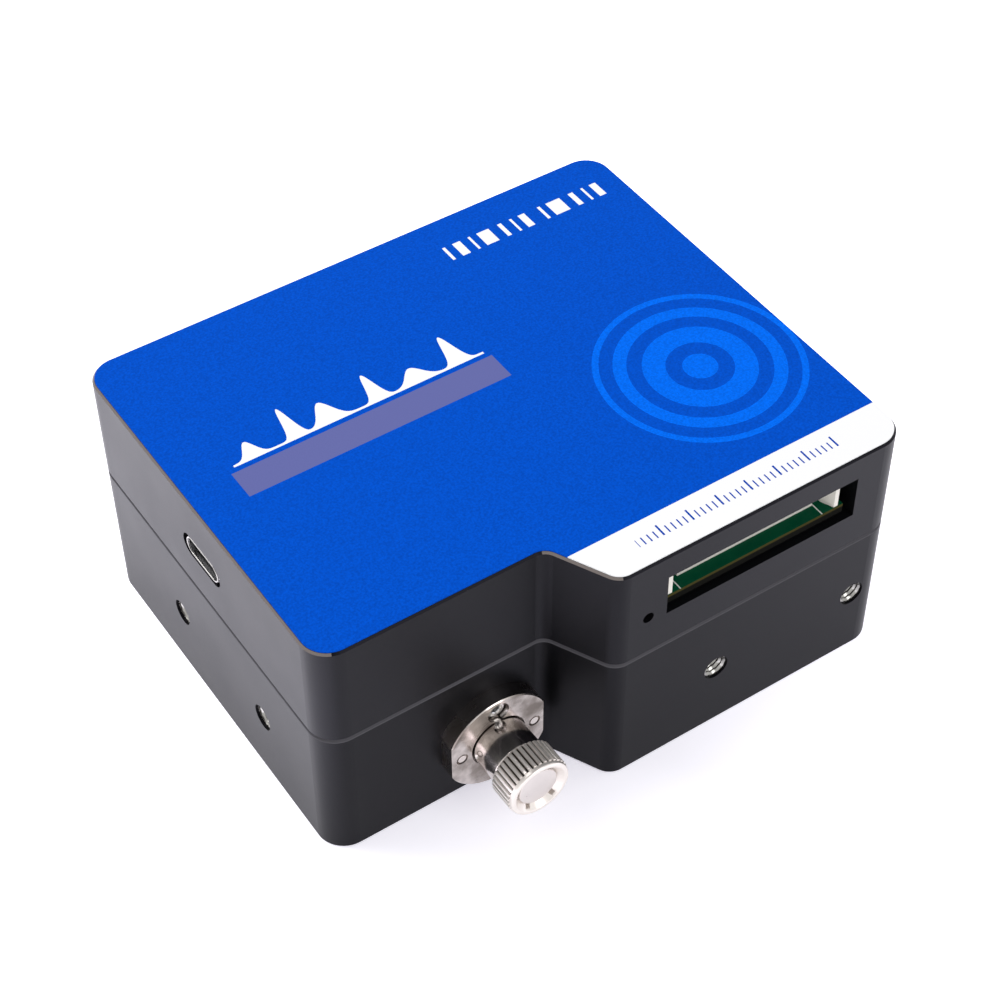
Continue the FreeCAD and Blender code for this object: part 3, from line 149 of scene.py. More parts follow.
floor_mesh = bpy.data.meshes.new("floor")
table_corners = [(x * TABLE_HALF, y * TABLE_HALF, 0) for x, y in ((-1, -1), (1, -1), (1, 1), (-1, 1))]
floor_mesh.from_pydata(table_corners, [], [(0, 1, 2, 3)])
floor = bpy.data.objects.new("floor", floor_mesh)
scene.collection.objects.link(floor)
floor.location.z = -TABLE_GAP
paper = bpy.data.materials.new("white_paper")
paper.use_nodes = True
tree = paper.node_tree
shader = tree.nodes["Principled BSDF"]
shader.inputs["Base Color"].default_value = (PAPER_WHITE, PAPER_WHITE, PAPER_WHITE, 1.0)
shader.inputs["Roughness"].default_value = 0.9
shader.inputs["Specular IOR Level"].default_value = 0.0
shader.inputs["Emission Color"].default_value = PAPER_PAINTED_LIGHT_TINT
across, along, _ = coordinates(tree)
# Painted light on the table: strongest at the left, stronger to the right, and dimmer close to the housing's
# front as painted shade.
leftwards = calc(tree, "MULTIPLY_ADD", along, PAINTED_LIGHT_SKEW, calc(tree, "MULTIPLY", across, -1.0))
left_painted_light = ramp(tree, leftwards, low=32.0, high=62.0, at_high=1.8)
front_painted_light = ramp(tree, along, low=-72.0, high=-40.0, at_low=0.7, at_high=0.45)
right_painted_light = ramp(tree, across, low=5.0, high=60.0, at_high=0.34)
painted_floor_light = calc(tree, "MAXIMUM", left_painted_light, calc(tree, "ADD", front_painted_light, right_painted_light))
tree.links.new(calc(tree, "MULTIPLY", seen_directly(tree), painted_floor_light), shader.inputs["Emission Strength"])
floor_mesh.materials.append(paper)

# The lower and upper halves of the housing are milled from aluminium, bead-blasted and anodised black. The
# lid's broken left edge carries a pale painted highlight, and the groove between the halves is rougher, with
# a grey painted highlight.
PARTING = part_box("base_housing")[1].z * MM_PER_M
LID_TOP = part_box("top_housing")[1].z * MM_PER_M
GROOVE_BELOW, GROOVE_ABOVE = 0.5, 0.3
GROOVE_ROUGHER = 0.5
GROOVE_HIGHLIGHT_TONE = (0.085, 0.082, 0.092)
EDGE_DEPTH = 0.8
EDGE_LOWEST_TILT, EDGE_HIGHEST_TILT = 0.15, 0.97
EDGE_LEFT_TILT = -0.3
EDGE_HIGHLIGHT_TONE = (0.18, 0.155, 0.145)
ANODISING_BLUE = 1.2
ANODISING_SHINE = (0.8, 0.78, 1.0, 1.0)


def finish(name, color, roughness, metallic=0.0, specular=0.5):
    """A material with the shader's plain values set on its own sockets."""
    material = bpy.data.materials.new(name)
    material.use_nodes = True
    shader = material.node_tree.nodes["Principled BSDF"]
    shader.inputs["Base Color"].default_value = (*color, 1.0)
    shader.inputs["Roughness"].default_value = roughness
    shader.inputs["Metallic"].default_value = metallic
    shader.inputs["Specular IOR Level"].default_value = specular
    return material, material.node_tree, shader


def grain_group():
    """Two sizes of noise in object space: a fine grain for the surface and broad patches for its tone."""
    group = bpy.data.node_groups.new("surface_grain", "ShaderNodeTree")
    for name, value in (("Grain Size", 0.0002), ("Patch Size", 0.01)):
        socket = group.interface.new_socket(name, in_out="INPUT", socket_type="NodeSocketFloat")
        socket.default_value = value
    for name in ("Grain", "Patches"):
        group.interface.new_socket(name, in_out="OUTPUT", socket_type="NodeSocketFloat")
    start = group.nodes.new("NodeGroupInput")
    end = group.nodes.new("NodeGroupOutput")
    place = group.nodes.new("ShaderNodeTexCoord")
    for size, detail, output in (("Grain Size", 2.0, "Grain"), ("Patch Size", 3.0, "Patches")):
        noise = group.nodes.new("ShaderNodeTexNoise")
        noise.inputs["Detail"].default_value = detail
        group.links.new(place.outputs["Object"], noise.inputs["Vector"])
        group.links.new(calc(group, "DIVIDE", 1.0, start.outputs[size]), noise.inputs["Scale"])
        group.links.new(noise.outputs["Fac"], end.inputs[output])
    return group


GRAIN = grain_group()


def add_grain(tree, grain_size, patch_size):
    """The grain and patches of the group above, at sizes in metres, as two masks."""
    node = tree.nodes.new("ShaderNodeGroup")
    node.node_tree = GRAIN
    node.inputs["Grain Size"].default_value = grain_size
    node.inputs["Patch Size"].default_value = patch_size
    return node.outputs["Grain"], node.outputs["Patches"]


def between(tree, mask, at_zero, at_one):
    """A value that runs from one number to another as the mask runs from 0 to 1."""
    return calc(tree, "MULTIPLY_ADD", mask, at_one - at_zero, at_zero)


def shade(color, share):
    """A colour made darker or lighter by a share."""
    return tuple(value * share for value in color)


def toned(tree, mask, dark, light):
    """A colour that runs from dark to light with the mask."""
    mix = tree.nodes.new("ShaderNodeMix")
    mix.data_type = "RGBA"
    tree.links.new(mask, mix.inputs["Factor"])
    for socket, color in ((mix.inputs["A"], dark), (mix.inputs["B"], light)):
        if isinstance(color, tuple):
            socket.default_value = (*color, 1.0)
        else:
            tree.links.new(color, socket)
    return mix.outputs["Result"]


def bump(tree, shader, height, depth):
    """Relief of a height map, at its real depth in metres."""
    node = tree.nodes.new("ShaderNodeBump")
    node.inputs["Strength"].default_value = 1.0
    node.inputs["Distance"].default_value = depth
    tree.links.new(height, node.inputs["Height"])
    tree.links.new(node.outputs["Normal"], shader.inputs["Normal"])


def dress(material, *names):
    """Gives CAD nodes a material."""
    for name in names:
        for slot in nodes[name].material_slots:
            slot.material = material


def inside(tree, value, low, high):
    """1 where the value lies between low and high."""
    return calc(tree, "COMPARE", value, (high + low) / 2, (high - low) / 2)


def both(tree, first, second):
    """1 where two masks are 1: their product."""
    return calc(tree, "MULTIPLY", first, second)


def tilt(tree):
    """The three parts of the surface's own direction."""
    surface = tree.nodes.new("ShaderNodeNewGeometry")
    split = tree.nodes.new("ShaderNodeSeparateXYZ")
    tree.links.new(surface.outputs["True Normal"], split.inputs[0])
    return split.outputs["X"], split.outputs["Y"], split.outputs["Z"]


def anodised(name, tone, roughness, specular):
    """Black anodising, with a pale painted highlight on the lid's broken left edge and a grey painted
    highlight in the parting groove.
    """
    black = (tone, tone, tone * ANODISING_BLUE)
    material, tree, shader = finish(name, black, roughness, specular=specular)
    shader.inputs["Specular Tint"].default_value = ANODISING_SHINE
    grain, patches = add_grain(tree, grain_size=0.00022, patch_size=0.012)
    color = toned(tree, patches, shade(black, share=0.85), shade(black, share=1.2))
    height = coordinates(tree)[2]
    groove = inside(tree, height, PARTING - GROOVE_BELOW, PARTING + GROOVE_ABOVE)
    tilt_x, _, tilt_z = tilt(tree)
    slanted = inside(tree, tilt_z, EDGE_LOWEST_TILT, EDGE_HIGHEST_TILT)
    broken = both(tree, slanted, calc(tree, "GREATER_THAN", height, LID_TOP - EDGE_DEPTH))
    pale_edge_highlight = both(tree, broken, calc(tree, "LESS_THAN", tilt_x, EDGE_LEFT_TILT))
    # The grey in the parting groove and the pale tone on the lid's left edge are painted highlights.
    color = toned(tree, groove, color, GROOVE_HIGHLIGHT_TONE)
    tree.links.new(toned(tree, pale_edge_highlight, color, EDGE_HIGHLIGHT_TONE), shader.inputs["Base Color"])
    rough = between(tree, patches, roughness - 0.04, roughness + 0.05)
    tree.links.new(calc(tree, "MULTIPLY_ADD", groove, GROOVE_ROUGHER, rough), shader.inputs["Roughness"])
    bump(tree, shader, grain, depth=0.000012)
    return material


# The lid's copy of the anodising is painted a shade paler than the base's, as painted light on the upper
# half.
dress(anodised("blasted_black_anodising", tone=0.0032, roughness=0.36, specular=0.115), "base_housing")
dress(anodised("blasted_black_lid_painted_paler", tone=0.0036, roughness=0.38, specular=0.14), "top_housing")

# The mounts, baffles, cooling block, nut and retainer inside are turned or milled from aluminium too, and
# anodised a little duller and greyer, so that they throw no light about.
inner_black = anodised("inner_black_anodising", tone=0.012, roughness=0.5, specular=0.2)
dress(inner_black, "collimator_mount", "focus_mount", "grating_mount", "entrance_baffle", "detector_baffle",
      "heat_spreader", "socket_nut", "slit_retainer")

# The lid's printed film is a plastic sheet, glued on. It is blue with a fine tooth, with a white strip
# along the front, a grey-violet bar, and plain figures of spectral lines, peaks, rings and a tick scale.
FILM_BLUE = (0.0, 0.078, 0.565)
FILM_LIGHT_BLUE = (0.0, 0.142, 0.86)
FILM_VIOLET = (0.13, 0.145, 0.38)
FILM_WHITE = (0.94, 0.94, 0.96)
FILM_INK = (0.0, 0.055, 0.42)
STRIP_EDGE = -30.6
# Rectangles on the film are left, right, low and high, in millimetres.
VIOLET_BAR = (-37.4, 5.5, 2.6, 7.7)
PEAK_FIELD = (-36.4, 4.8, 8.6, 16.0)
PEAK_FOOT = 9.0
# Each peak is its middle, its width and its height.
PEAKS = ((-33.0, 1.3, 3.2), (-26.0, 1.0, 6.4), (-20.5, 1.8, 4.2), (-12.5, 1.1, 5.6), (-6.0, 2.0, 3.0),
         (1.0, 1.2, 6.2))
RINGS_ACROSS, RINGS_ALONG = 29.0, -11.0
# Each ring is its inner and outer radius.
RINGS = ((0.0, 2.6), (5.0, 8.4), (10.6, 12.6), (14.6, 15.6))
LINES_LOW, LINES_HIGH = 28.4, 31.6
# Each spectral line is its left edge and its width.
LINES = ((12.4, 0.5), (14.2, 1.4), (17.0, 0.4), (18.6, 2.2), (22.4, 0.7), (24.6, 0.4), (26.2, 1.2),
         (29.8, 0.5), (31.4, 2.6), (35.6, 0.9), (38.0, 0.4), (39.6, 1.2))
SCALE_LEFT, SCALE_RIGHT, SCALE_FOOT = 1.0, 35.6, -34.6


def either(tree, masks):
    """1 where any of the masks is 1."""
    result = masks[0]
    for mask in masks[1:]:
        result = calc(tree, "MAXIMUM", result, mask)
    return result


def rectangle(tree, x, y, left, right, low, high):
    """1 inside a rectangle with sides along X and Y."""
    return both(tree, inside(tree, x, left, right), inside(tree, y, low, high))


def distance(tree, first, second):
    """The length of two offsets at a right angle: the root of the sum of their squares."""
    return calc(tree, "SQRT", calc(tree, "ADD", both(tree, first, first), both(tree, second, second)))


def ring_marks(tree, x, y):
    """1 on rings round one point."""
    across, along = calc(tree, "SUBTRACT", x, RINGS_ACROSS), calc(tree, "SUBTRACT", y, RINGS_ALONG)
    radius = distance(tree, across, along)
    return either(tree, [inside(tree, radius, inner, outer) for inner, outer in RINGS])


def peak_marks(tree, x, y):
    """1 below a curve: the sum of height times e to the minus ((x - middle) / width) squared, on a foot."""
    curve = PEAK_FOOT
    for middle, width, height in PEAKS:
        offset = calc(tree, "DIVIDE", calc(tree, "SUBTRACT", x, middle), width)
        fall = calc(tree, "MULTIPLY", both(tree, offset, offset), -1.0)
        bell = calc(tree, "MULTIPLY", calc(tree, "EXPONENT", fall), height)
        curve = calc(tree, "ADD", bell, curve)
    return both(tree, calc(tree, "LESS_THAN", y, curve), rectangle(tree, x, y, *PEAK_FIELD))


def tick_marks(tree, x, y, pitch, half_width, top):
    """1 on ticks at each multiple of the pitch: |frac(x / pitch + 1/2) - 1/2| is less than half a tick."""
    place = calc(tree, "FRACT", calc(tree, "ADD", calc(tree, "DIVIDE", x, pitch), 0.5))
    away = calc(tree, "ABSOLUTE", calc(tree, "SUBTRACT", place, 0.5))
    band = rectangle(tree, x, y, SCALE_LEFT, SCALE_RIGHT, SCALE_FOOT, top)
    return both(tree, calc(tree, "LESS_THAN", away, half_width / pitch), band)


def printed_film():
    """The print's inks, laid over each other from the blue ground up, and speckled by the film's tooth."""
    material, tree, shader = finish("printed_film", FILM_BLUE, roughness=0.5, specular=0.02)
    x, y, _ = coordinates(tree)
    lines = [rectangle(tree, x, y, left, left + width, LINES_LOW, LINES_HIGH) for left, width in LINES]
    ticks = [tick_marks(tree, x, y, pitch=1.0, half_width=0.11, top=-33.2),
             tick_marks(tree, x, y, pitch=5.0, half_width=0.15, top=-32.5)]
    grain, patches = add_grain(tree, grain_size=0.00034, patch_size=0.02)
    speckle = ramp(tree, grain, low=0.3, high=0.7)
    blue, light_blue = (toned(tree, speckle, shade(color, share=0.84), shade(color, share=1.15))
                        for color in (FILM_BLUE, FILM_LIGHT_BLUE))
    blue = toned(tree, ring_marks(tree, x, y), blue, light_blue)
    blue = toned(tree, rectangle(tree, x, y, *VIOLET_BAR), blue, FILM_VIOLET)
    blue = toned(tree, either(tree, [*lines, peak_marks(tree, x, y)]), blue, FILM_WHITE)
    white = toned(tree, either(tree, ticks), FILM_WHITE, FILM_INK)
    color = toned(tree, calc(tree, "LESS_THAN", y, STRIP_EDGE), blue, white)
    tree.links.new(color, shader.inputs["Base Color"])
    tree.links.new(between(tree, patches, at_zero=0.46, at_one=0.56), shader.inputs["Roughness"])
    bump(tree, shader, grain, depth=0.000008)
    return material


dress(printed_film(), "top_label")

# The housing's, the mounts' and the board's screws are turned steel, the side socket's shell is drawn from
# steel sheet and the slit is cut in a steel disc. All are bare.


def bare_metal(name, color, roughness, grain_depth=0.000004):
    """Bare metal with a fine grain, darker and smoother in patches."""
    material, tree, shader = finish(name, color, roughness, metallic=1.0)
    grain, patches = add_grain(tree, grain_size=0.00015, patch_size=0.003)
    tree.links.new(toned(tree, patches, shade(color, share=0.82), color), shader.inputs["Base Color"])
    tree.links.new(between(tree, patches, roughness * 0.6, roughness * 1.5), shader.inputs["Roughness"])
    bump(tree, shader, grain, grain_depth)
    return material


steel = bare_metal("screw_steel", (0.6, 0.6, 0.6), roughness=0.22)
dress(steel, "housing_screws", "mount_screws", "board_screws", "usb_shell", "slit_plate")

# The fibre port is nickel-plated brass, bright but handled: a round flange with two flats, held by two
# small socket screws and placed by two pins.
SMUDGE_DARK = (0.22, 0.19, 0.17)
SMUDGE_LIGHT = (0.62, 0.57, 0.54)

nickel = bare_metal("worn_nickel", (0.76, 0.70, 0.66), roughness=0.13, grain_depth=0.000002)


def smudged_nickel():
    """Dull nickel with broad grey-brown smudges that were left by handling."""
    material, tree, shader = finish("smudged_nickel", (0.5, 0.46, 0.44), roughness=0.25, metallic=1.0)
    fine, broad = add_grain(tree, grain_size=0.0006, patch_size=0.0045)
    smudges = ramp(tree, broad, low=0.38, high=0.62)
    tree.links.new(toned(tree, smudges, SMUDGE_DARK, SMUDGE_LIGHT), shader.inputs["Base Color"])
    tree.links.new(between(tree, smudges, at_zero=0.34, at_one=0.16), shader.inputs["Roughness"])
    bump(tree, shader, fine, depth=0.000004)
    return material


dress(smudged_nickel(), "port_flange")
dress(nickel, "flange_pins")

# The barrel is turned from bar, goes through the flange and is clamped from inside. It has a small drilled
# dimple at the side, for a spanner pin, and an outer thread on its neck for the cap.
low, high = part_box("port_flange")
PORT_X = (low.x + high.x) / 2
PORT_Y = high.y
PORT_Z = (low.z + high.z) / 2
TURN = 2 * math.pi
# The port's radii, and its places along the axis, counted outwards from the recessed front, in millimetres.
BARREL_RADIUS, BARREL_BACK, BARREL_FRONT = 4.25, -9.5, 8.1
BORE_RADIUS = 1.6
SLIT_SEAT_RADIUS, SLIT_SEAT_END = 3.05, -7.3
NECK_RADIUS, NECK_END = 3.15, 11.3
DIMPLE_PLACE, DIMPLE_RADIUS, DIMPLE_FLAT_RADIUS, DIMPLE_DEPTH = 3.6, 0.55, 0.36, 0.42
THREAD_PITCH, THREAD_DEPTH = 0.75, 0.2
SHARP_EDGE = math.radians(38)


def skin(name, grid, poles=None):
    """A closed surface through a grid of points (rows, columns, 3) in metres.

    Columns wrap round. Rows wrap round too, or end in two pole points. Faces point outwards, which the sign
    of the enclosed volume, the sum of a . (b x c) / 6 over the triangles, decides.
    """
    rows, columns = grid.shape[:2]
    points = grid.reshape(-1, 3)
    cell = np.arange(rows * columns).reshape(rows, columns)
    first, second = (cell, np.roll(cell, -1, axis=0)) if poles is None else (cell[:-1], cell[1:])
    quads = np.stack([first, np.roll(first, -1, 1), np.roll(second, -1, 1), second], axis=-1).reshape(-1, 4)
    ends = np.zeros((0, 3), int)
    if poles is not None:
        points = np.vstack([points, poles])
        start, stop = cell[0], cell[-1]
        low_pole, high_pole = np.full(columns, rows * columns), np.full(columns, rows * columns + 1)
        ends = np.vstack([np.stack([low_pole, np.roll(start, -1), start], 1),
                          np.stack([high_pole, stop, np.roll(stop, -1)], 1)])
    triangles = np.vstack([quads[:, [0, 1, 2]], quads[:, [0, 2, 3]], ends])
    a, b, c = (points[triangles[:, k]] for k in range(3))
    if np.einsum("ij,ij->", a, np.cross(b, c)) < 0:
        quads, ends = quads[:, ::-1], ends[:, ::-1]
    mesh = bpy.data.meshes.new(name)
    mesh.from_pydata(points.tolist(), [], quads.tolist() + ends.tolist())
    mesh.shade_smooth()
    mesh.set_sharp_from_angle(angle=SHARP_EDGE)
    item = bpy.data.objects.new(name, mesh)
    scene.collection.objects.link(item)
    return item


def rounded(corners, longest=None, arc_steps=5):
    """The points of a profile whose corners (radius, out, rounding) are rounded.

    Each rounding is a curve B(t) = (1-t)^2 p + 2t(1-t) q + t^2 r from its start p to its end r round q.
    Where a longest step is given, the profile is closed and its sides are divided to that length.
    """
    count = len(corners)
    spots = np.array([corner[:2] for corner in corners], float)
    result = []
    for index, corner in enumerate(corners):
        spot, cut = spots[index], corner[2] if len(corner) == 3 else 0.0
        if cut == 0.0:
            result.append(spot[None])
            continue
        back, ahead = spots[index - 1] - spot, spots[(index + 1) % count] - spot
        p = spot + back / np.linalg.norm(back) * cut
        r = spot + ahead / np.linalg.norm(ahead) * cut
        t = np.linspace(0, 1, arc_steps)[:, None]
        result.append((1 - t) ** 2 * p + 2 * t * (1 - t) * spot + t ** 2 * r)
    points = np.vstack(result)
    if longest is None:
        return points
    after = np.roll(points, -1, axis=0)
    parts = np.maximum(1, np.ceil(np.linalg.norm(after - points, axis=1) / longest).astype(int))
    return np.vstack([p + (q - p) * np.linspace(0, 1, n, endpoint=False)[:, None]
                      for p, q, n in zip(points, after, parts)])


def round_steps(columns):
    """Equal steps of angle once round the port's axis, as one row."""
    return np.linspace(0, TURN, columns, endpoint=False)[None, :]


def around_port(radius, out, angle):
    """Points at a radius and an angle round the port's axis and a distance out from the recessed front."""
    return np.stack([PORT_X + radius * np.cos(angle) / MM_PER_M, PORT_Y - out / MM_PER_M + 0 * angle,
                     PORT_Z + radius * np.sin(angle) / MM_PER_M], axis=-1)


def smooth(value, low, high):
    """0 below low, 1 above high, and 3t^2 - 2t^3 between them."""
    t = np.clip((value - low) / (high - low), 0, 1)
    return t * t * (3 - 2 * t)


def barrel(columns=320, dimple_rows=17, neck_rows=33):
    """The barrel: r(out, angle) of its profile, less a dimple and the neck's thread.

    The dimple, at its place and half a turn, has its full depth within its flat radius and none past its
    radius. The thread is a groove of depth (1 - cos(2 pi (out / pitch - angle / 2 pi))) / 2.
    """
    across_dimple = np.linspace(DIMPLE_PLACE - 0.7, DIMPLE_PLACE + 0.7, dimple_rows)
    along_neck = np.linspace(BARREL_FRONT + 0.15, NECK_END - 0.25, neck_rows)
    profile = rounded([(BORE_RADIUS, SLIT_SEAT_END), (SLIT_SEAT_RADIUS, SLIT_SEAT_END),
                       (SLIT_SEAT_RADIUS, BARREL_BACK), (BARREL_RADIUS, BARREL_BACK),
                       *((BARREL_RADIUS, out) for out in across_dimple), (BARREL_RADIUS, BARREL_FRONT, 0.3),
                       (NECK_RADIUS, BARREL_FRONT), *((NECK_RADIUS, out) for out in along_neck),
                       (NECK_RADIUS, NECK_END, 0.15), (BORE_RADIUS, NECK_END, 0.1)])
    angle = round_steps(columns)
    radius, out = profile[:, :1], profile[:, 1:]
    away = np.hypot((angle - math.pi) * BARREL_RADIUS, out - DIMPLE_PLACE)
    on_barrel = radius > BARREL_RADIUS - 0.05
    dimple = DIMPLE_DEPTH * (1 - smooth(away, DIMPLE_FLAT_RADIUS, DIMPLE_RADIUS)) * on_barrel
    on_neck = (radius > NECK_RADIUS - 0.15) & (radius < NECK_RADIUS + 0.05)
    run_in = smooth(out, BARREL_FRONT + 0.2, BARREL_FRONT + 0.5)
    run_out = 1 - smooth(out, NECK_END - 0.3, NECK_END)
    phase = out / THREAD_PITCH - angle / TURN
    thread = THREAD_DEPTH / 2 * (1 - np.cos(TURN * phase)) * run_in * run_out * on_neck
    return skin("threaded_barrel", around_port(radius - dimple - thread, out, angle))


def piece(item, material, slot, body, *replaced):
    """Gives a new piece its finish and its body, and hides the CAD nodes that it stands for."""
    item.data.materials.append(material)
    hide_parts(*replaced)
    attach(item, body)


piece(barrel(), nickel, "nickel", "housing", "fiber_socket")

# The cap's ring has straight knurling, cut by a form tool, a smooth rounded rim, and two key notches in the
# sloped wall of its recess. It turns on the neck's thread.
CAP_RADIUS, CAP_BACK, KNURL_END = 4.95, 8.35, 12.4
CAP_BORE_RADIUS = 3.2
RIM_RADIUS, CAP_END = 4.8, 13.1
RECESS_RADIUS, RECESS_SLOPE, RECESS_FLOOR = 3.15, 0.95, 12.1
CAP_LIP_RADIUS, CAP_LIP_BACK = 2.6, 11.75
TEETH, STEPS_PER_TOOTH = 36, 18
GROOVE_DEPTH, GROOVE_HALF_WIDTH, GROOVE_CURVE = 0.42, 0.24, 0.8
NOTCH_ANGLES = (-120.0, -51.0)
NOTCH_PLACE, NOTCH_HALF_WIDTH, NOTCH_EDGE = 3.65, 0.42, 0.06
NOTCH_INNER_RADIUS, NOTCH_OUTER_RADIUS, NOTCH_FLOOR = 3.28, 3.85, 11.3
NICKEL_TONE = (0.88, 0.82, 0.78)
GROOVE_SHADE_TONE = (0.045, 0.036, 0.03)


def cap_ring():
    """The ring: r(out, angle) of its profile, with a groove beside each tooth and two notches in the recess.

    A groove is depth (1 - |s| / half width)^curve deep, s being the arc from its middle. In a notch, the
    lower 45 % of the recess's slope sinks to the notch's floor, and the radius climbs 2.4 times the share of
    the slope past 8 %, from the notch's inner radius to its outer one or the slope's own, the larger one.
    """
    shares = np.linspace(0.1, 0.9, 9)
    slope = [(RECESS_RADIUS + RECESS_SLOPE * (1 - share), CAP_END - share) for share in shares]
    profile = rounded([(CAP_BORE_RADIUS, CAP_BACK), (CAP_RADIUS, CAP_BACK, 0.1),
                       (CAP_RADIUS, KNURL_END, 0.05), (RIM_RADIUS, KNURL_END),
                       (RIM_RADIUS, KNURL_END + 0.04), (RIM_RADIUS, CAP_END, 0.32),
                       (RECESS_RADIUS + RECESS_SLOPE, CAP_END, 0.05), *slope, (RECESS_RADIUS, RECESS_FLOOR),
                       (CAP_LIP_RADIUS, RECESS_FLOOR, 0.03), (CAP_LIP_RADIUS, CAP_LIP_BACK),
                       (CAP_BORE_RADIUS, CAP_LIP_BACK)], longest=0.7)
    angle = round_steps(TEETH * STEPS_PER_TOOTH)
    radius, out = profile[:, :1], profile[:, 1:]
    arc = (((angle / TURN * TEETH + 0.5) % 1) - 0.5) / TEETH * TURN * CAP_RADIUS
    depth = GROOVE_DEPTH * np.clip(1 - np.abs(arc) / GROOVE_HALF_WIDTH, 0, 1) ** GROOVE_CURVE
    knurled = (out < KNURL_END + 0.02) & (radius > RIM_RADIUS - 0.05)
    on_slope = (out > RECESS_FLOOR) & (radius > RECESS_RADIUS + 0.05) & (radius < RECESS_RADIUS + 0.9)
    climb = (radius - RECESS_RADIUS) / RECESS_SLOPE
    notch_radius = np.clip(NOTCH_INNER_RADIUS + (climb - 0.08) * 2.4, NOTCH_INNER_RADIUS,
                           np.maximum(radius, NOTCH_OUTER_RADIUS))
    notch_out = np.where(climb < 0.45, NOTCH_FLOOR, out)
    radius = np.where(knurled, np.minimum(radius, CAP_RADIUS - depth), radius + 0 * angle)
    out = out + 0 * angle
    for middle in NOTCH_ANGLES:
        turn = (angle - math.radians(middle) + math.pi) % TURN - math.pi
        away = np.abs(turn) * NOTCH_PLACE
        mask = (1 - smooth(away, NOTCH_HALF_WIDTH - NOTCH_EDGE, NOTCH_HALF_WIDTH)) * on_slope
        radius = radius + (notch_radius - radius) * mask
        out = out + (notch_out - out) * mask
    return skin("knurled_ring", around_port(radius, out, angle))


def satin_nickel():
    """Nickel over a blasted surface, which scatters the room's light, with painted shade deep in the
    grooves.
    """
    material, tree, shader = finish("satin_nickel", NICKEL_TONE, roughness=0.3, metallic=0.6)
    grain, patches = add_grain(tree, grain_size=0.00012, patch_size=0.002)
    across, along, height = coordinates(tree)
    sideways = calc(tree, "SUBTRACT", across, PORT_X * MM_PER_M)
    upwards = calc(tree, "SUBTRACT", height, PORT_Z * MM_PER_M)
    radius = distance(tree, sideways, upwards)
    deep = ramp(tree, radius, low=4.6, high=4.82, at_low=1.0, at_high=0.0)
    outer = calc(tree, "GREATER_THAN", radius, 4.3)
    behind_rim = calc(tree, "GREATER_THAN", along, PORT_Y * MM_PER_M - KNURL_END + 0.02)
    # Painted shade: the colour darkens deep in the knurl grooves behind the rim.
    painted_groove_shade = both(tree, deep, both(tree, outer, behind_rim))
    tree.links.new(toned(tree, painted_groove_shade, NICKEL_TONE, GROOVE_SHADE_TONE), shader.inputs["Base Color"])
    tree.links.new(between(tree, patches, at_zero=0.24, at_one=0.38), shader.inputs["Roughness"])
    bump(tree, shader, grain, depth=0.000004)
    return material


piece(cap_ring(), satin_nickel(), "nickel", "cap_ring", "knurled_cap")

# The cap's end disc is a turned, nickel-plated rivet. It holds the ring loosely between its two flanges and
# carries the pin that closes the bore.
PIN_RADIUS, PIN_END = 1.55, 8.85
DISC_RADIUS, DISC_BACK, DISC_FACE = 3.1, 11.35, 12.5
DISC_GROOVE_RADIUS, DISC_GROOVE_BACK, DISC_GROOVE_FRONT = 2.55, 11.7, 12.15
POLE_RADIUS = 0.02


def end_disc(columns=160):
    """The disc: its profile, from the pin's end to the disc's face, turned round the port's axis."""
    profile = rounded([(POLE_RADIUS, PIN_END), (PIN_RADIUS, PIN_END, 0.15), (PIN_RADIUS, DISC_BACK),
                       (DISC_RADIUS, DISC_BACK), (DISC_RADIUS, DISC_GROOVE_BACK),
                       (DISC_GROOVE_RADIUS, DISC_GROOVE_BACK), (DISC_GROOVE_RADIUS, DISC_GROOVE_FRONT),
                       (DISC_RADIUS, DISC_GROOVE_FRONT), (DISC_RADIUS, DISC_FACE, 0.06),
                       (POLE_RADIUS, DISC_FACE)])
    angle = round_steps(columns)
    poles = around_port(np.zeros(2), np.array([PIN_END, DISC_FACE]), np.zeros(2))
    return skin("cap_end_disc", around_port(profile[:, :1] + 0 * angle, profile[:, 1:], angle), poles)


disc_nickel = bare_metal("brushed_nickel", (0.75, 0.70, 0.675), roughness=0.3, grain_depth=0.000003)
piece(end_disc(), disc_nickel, "nickel", "cap_disc", "cap_plug")

# The flange's two small steel screws have round heads with a hexagonal socket. They sit in counterbores, a
# little below the flange's face.
SCREW_SINK = 0.45
HEAD_RADIUS, HEAD_HEIGHT = 1.5, 0.85
COUNTERBORED_HEAD_RADIUS = 1.6
SHANK_RADIUS, SCREW_LENGTH = 0.95, 3.5
HEX_HALF_WIDTH, HEX_DEPTH = 0.6, 0.9


def flange_screw(name, height, top, columns=96):
    """A screw whose socket's radius is half width / cos(a), a being the angle from the nearest flat."""
    profile = rounded([(POLE_RADIUS, top - HEX_DEPTH), (HEX_HALF_WIDTH, top - HEX_DEPTH),
                       (HEX_HALF_WIDTH, top - 0.1), (HEX_HALF_WIDTH + 0.15, top), (HEAD_RADIUS, top, 0.2),
                       (HEAD_RADIUS, top - HEAD_HEIGHT), (SHANK_RADIUS, top - HEAD_HEIGHT),
                       (SHANK_RADIUS, top - SCREW_LENGTH), (POLE_RADIUS, top - SCREW_LENGTH)])
    angle = round_steps(columns)
    radius, out = profile[:, :1], profile[:, 1:]
    from_flat = (angle + TURN / 12) % (TURN / 6) - TURN / 12
    socket = (np.abs(radius - HEX_HALF_WIDTH) < 0.001) & (out > top - HEX_DEPTH - 0.1)
    radius = np.where(socket, radius / np.cos(from_flat), radius + 0 * angle)
    grid = around_port(radius, out, angle)
    poles = around_port(np.zeros(2), np.array([top - HEX_DEPTH, top - SCREW_LENGTH]), np.zeros(2))
    for points in (grid, poles):
        points[..., 2] += height
    return skin(name, grid, poles)


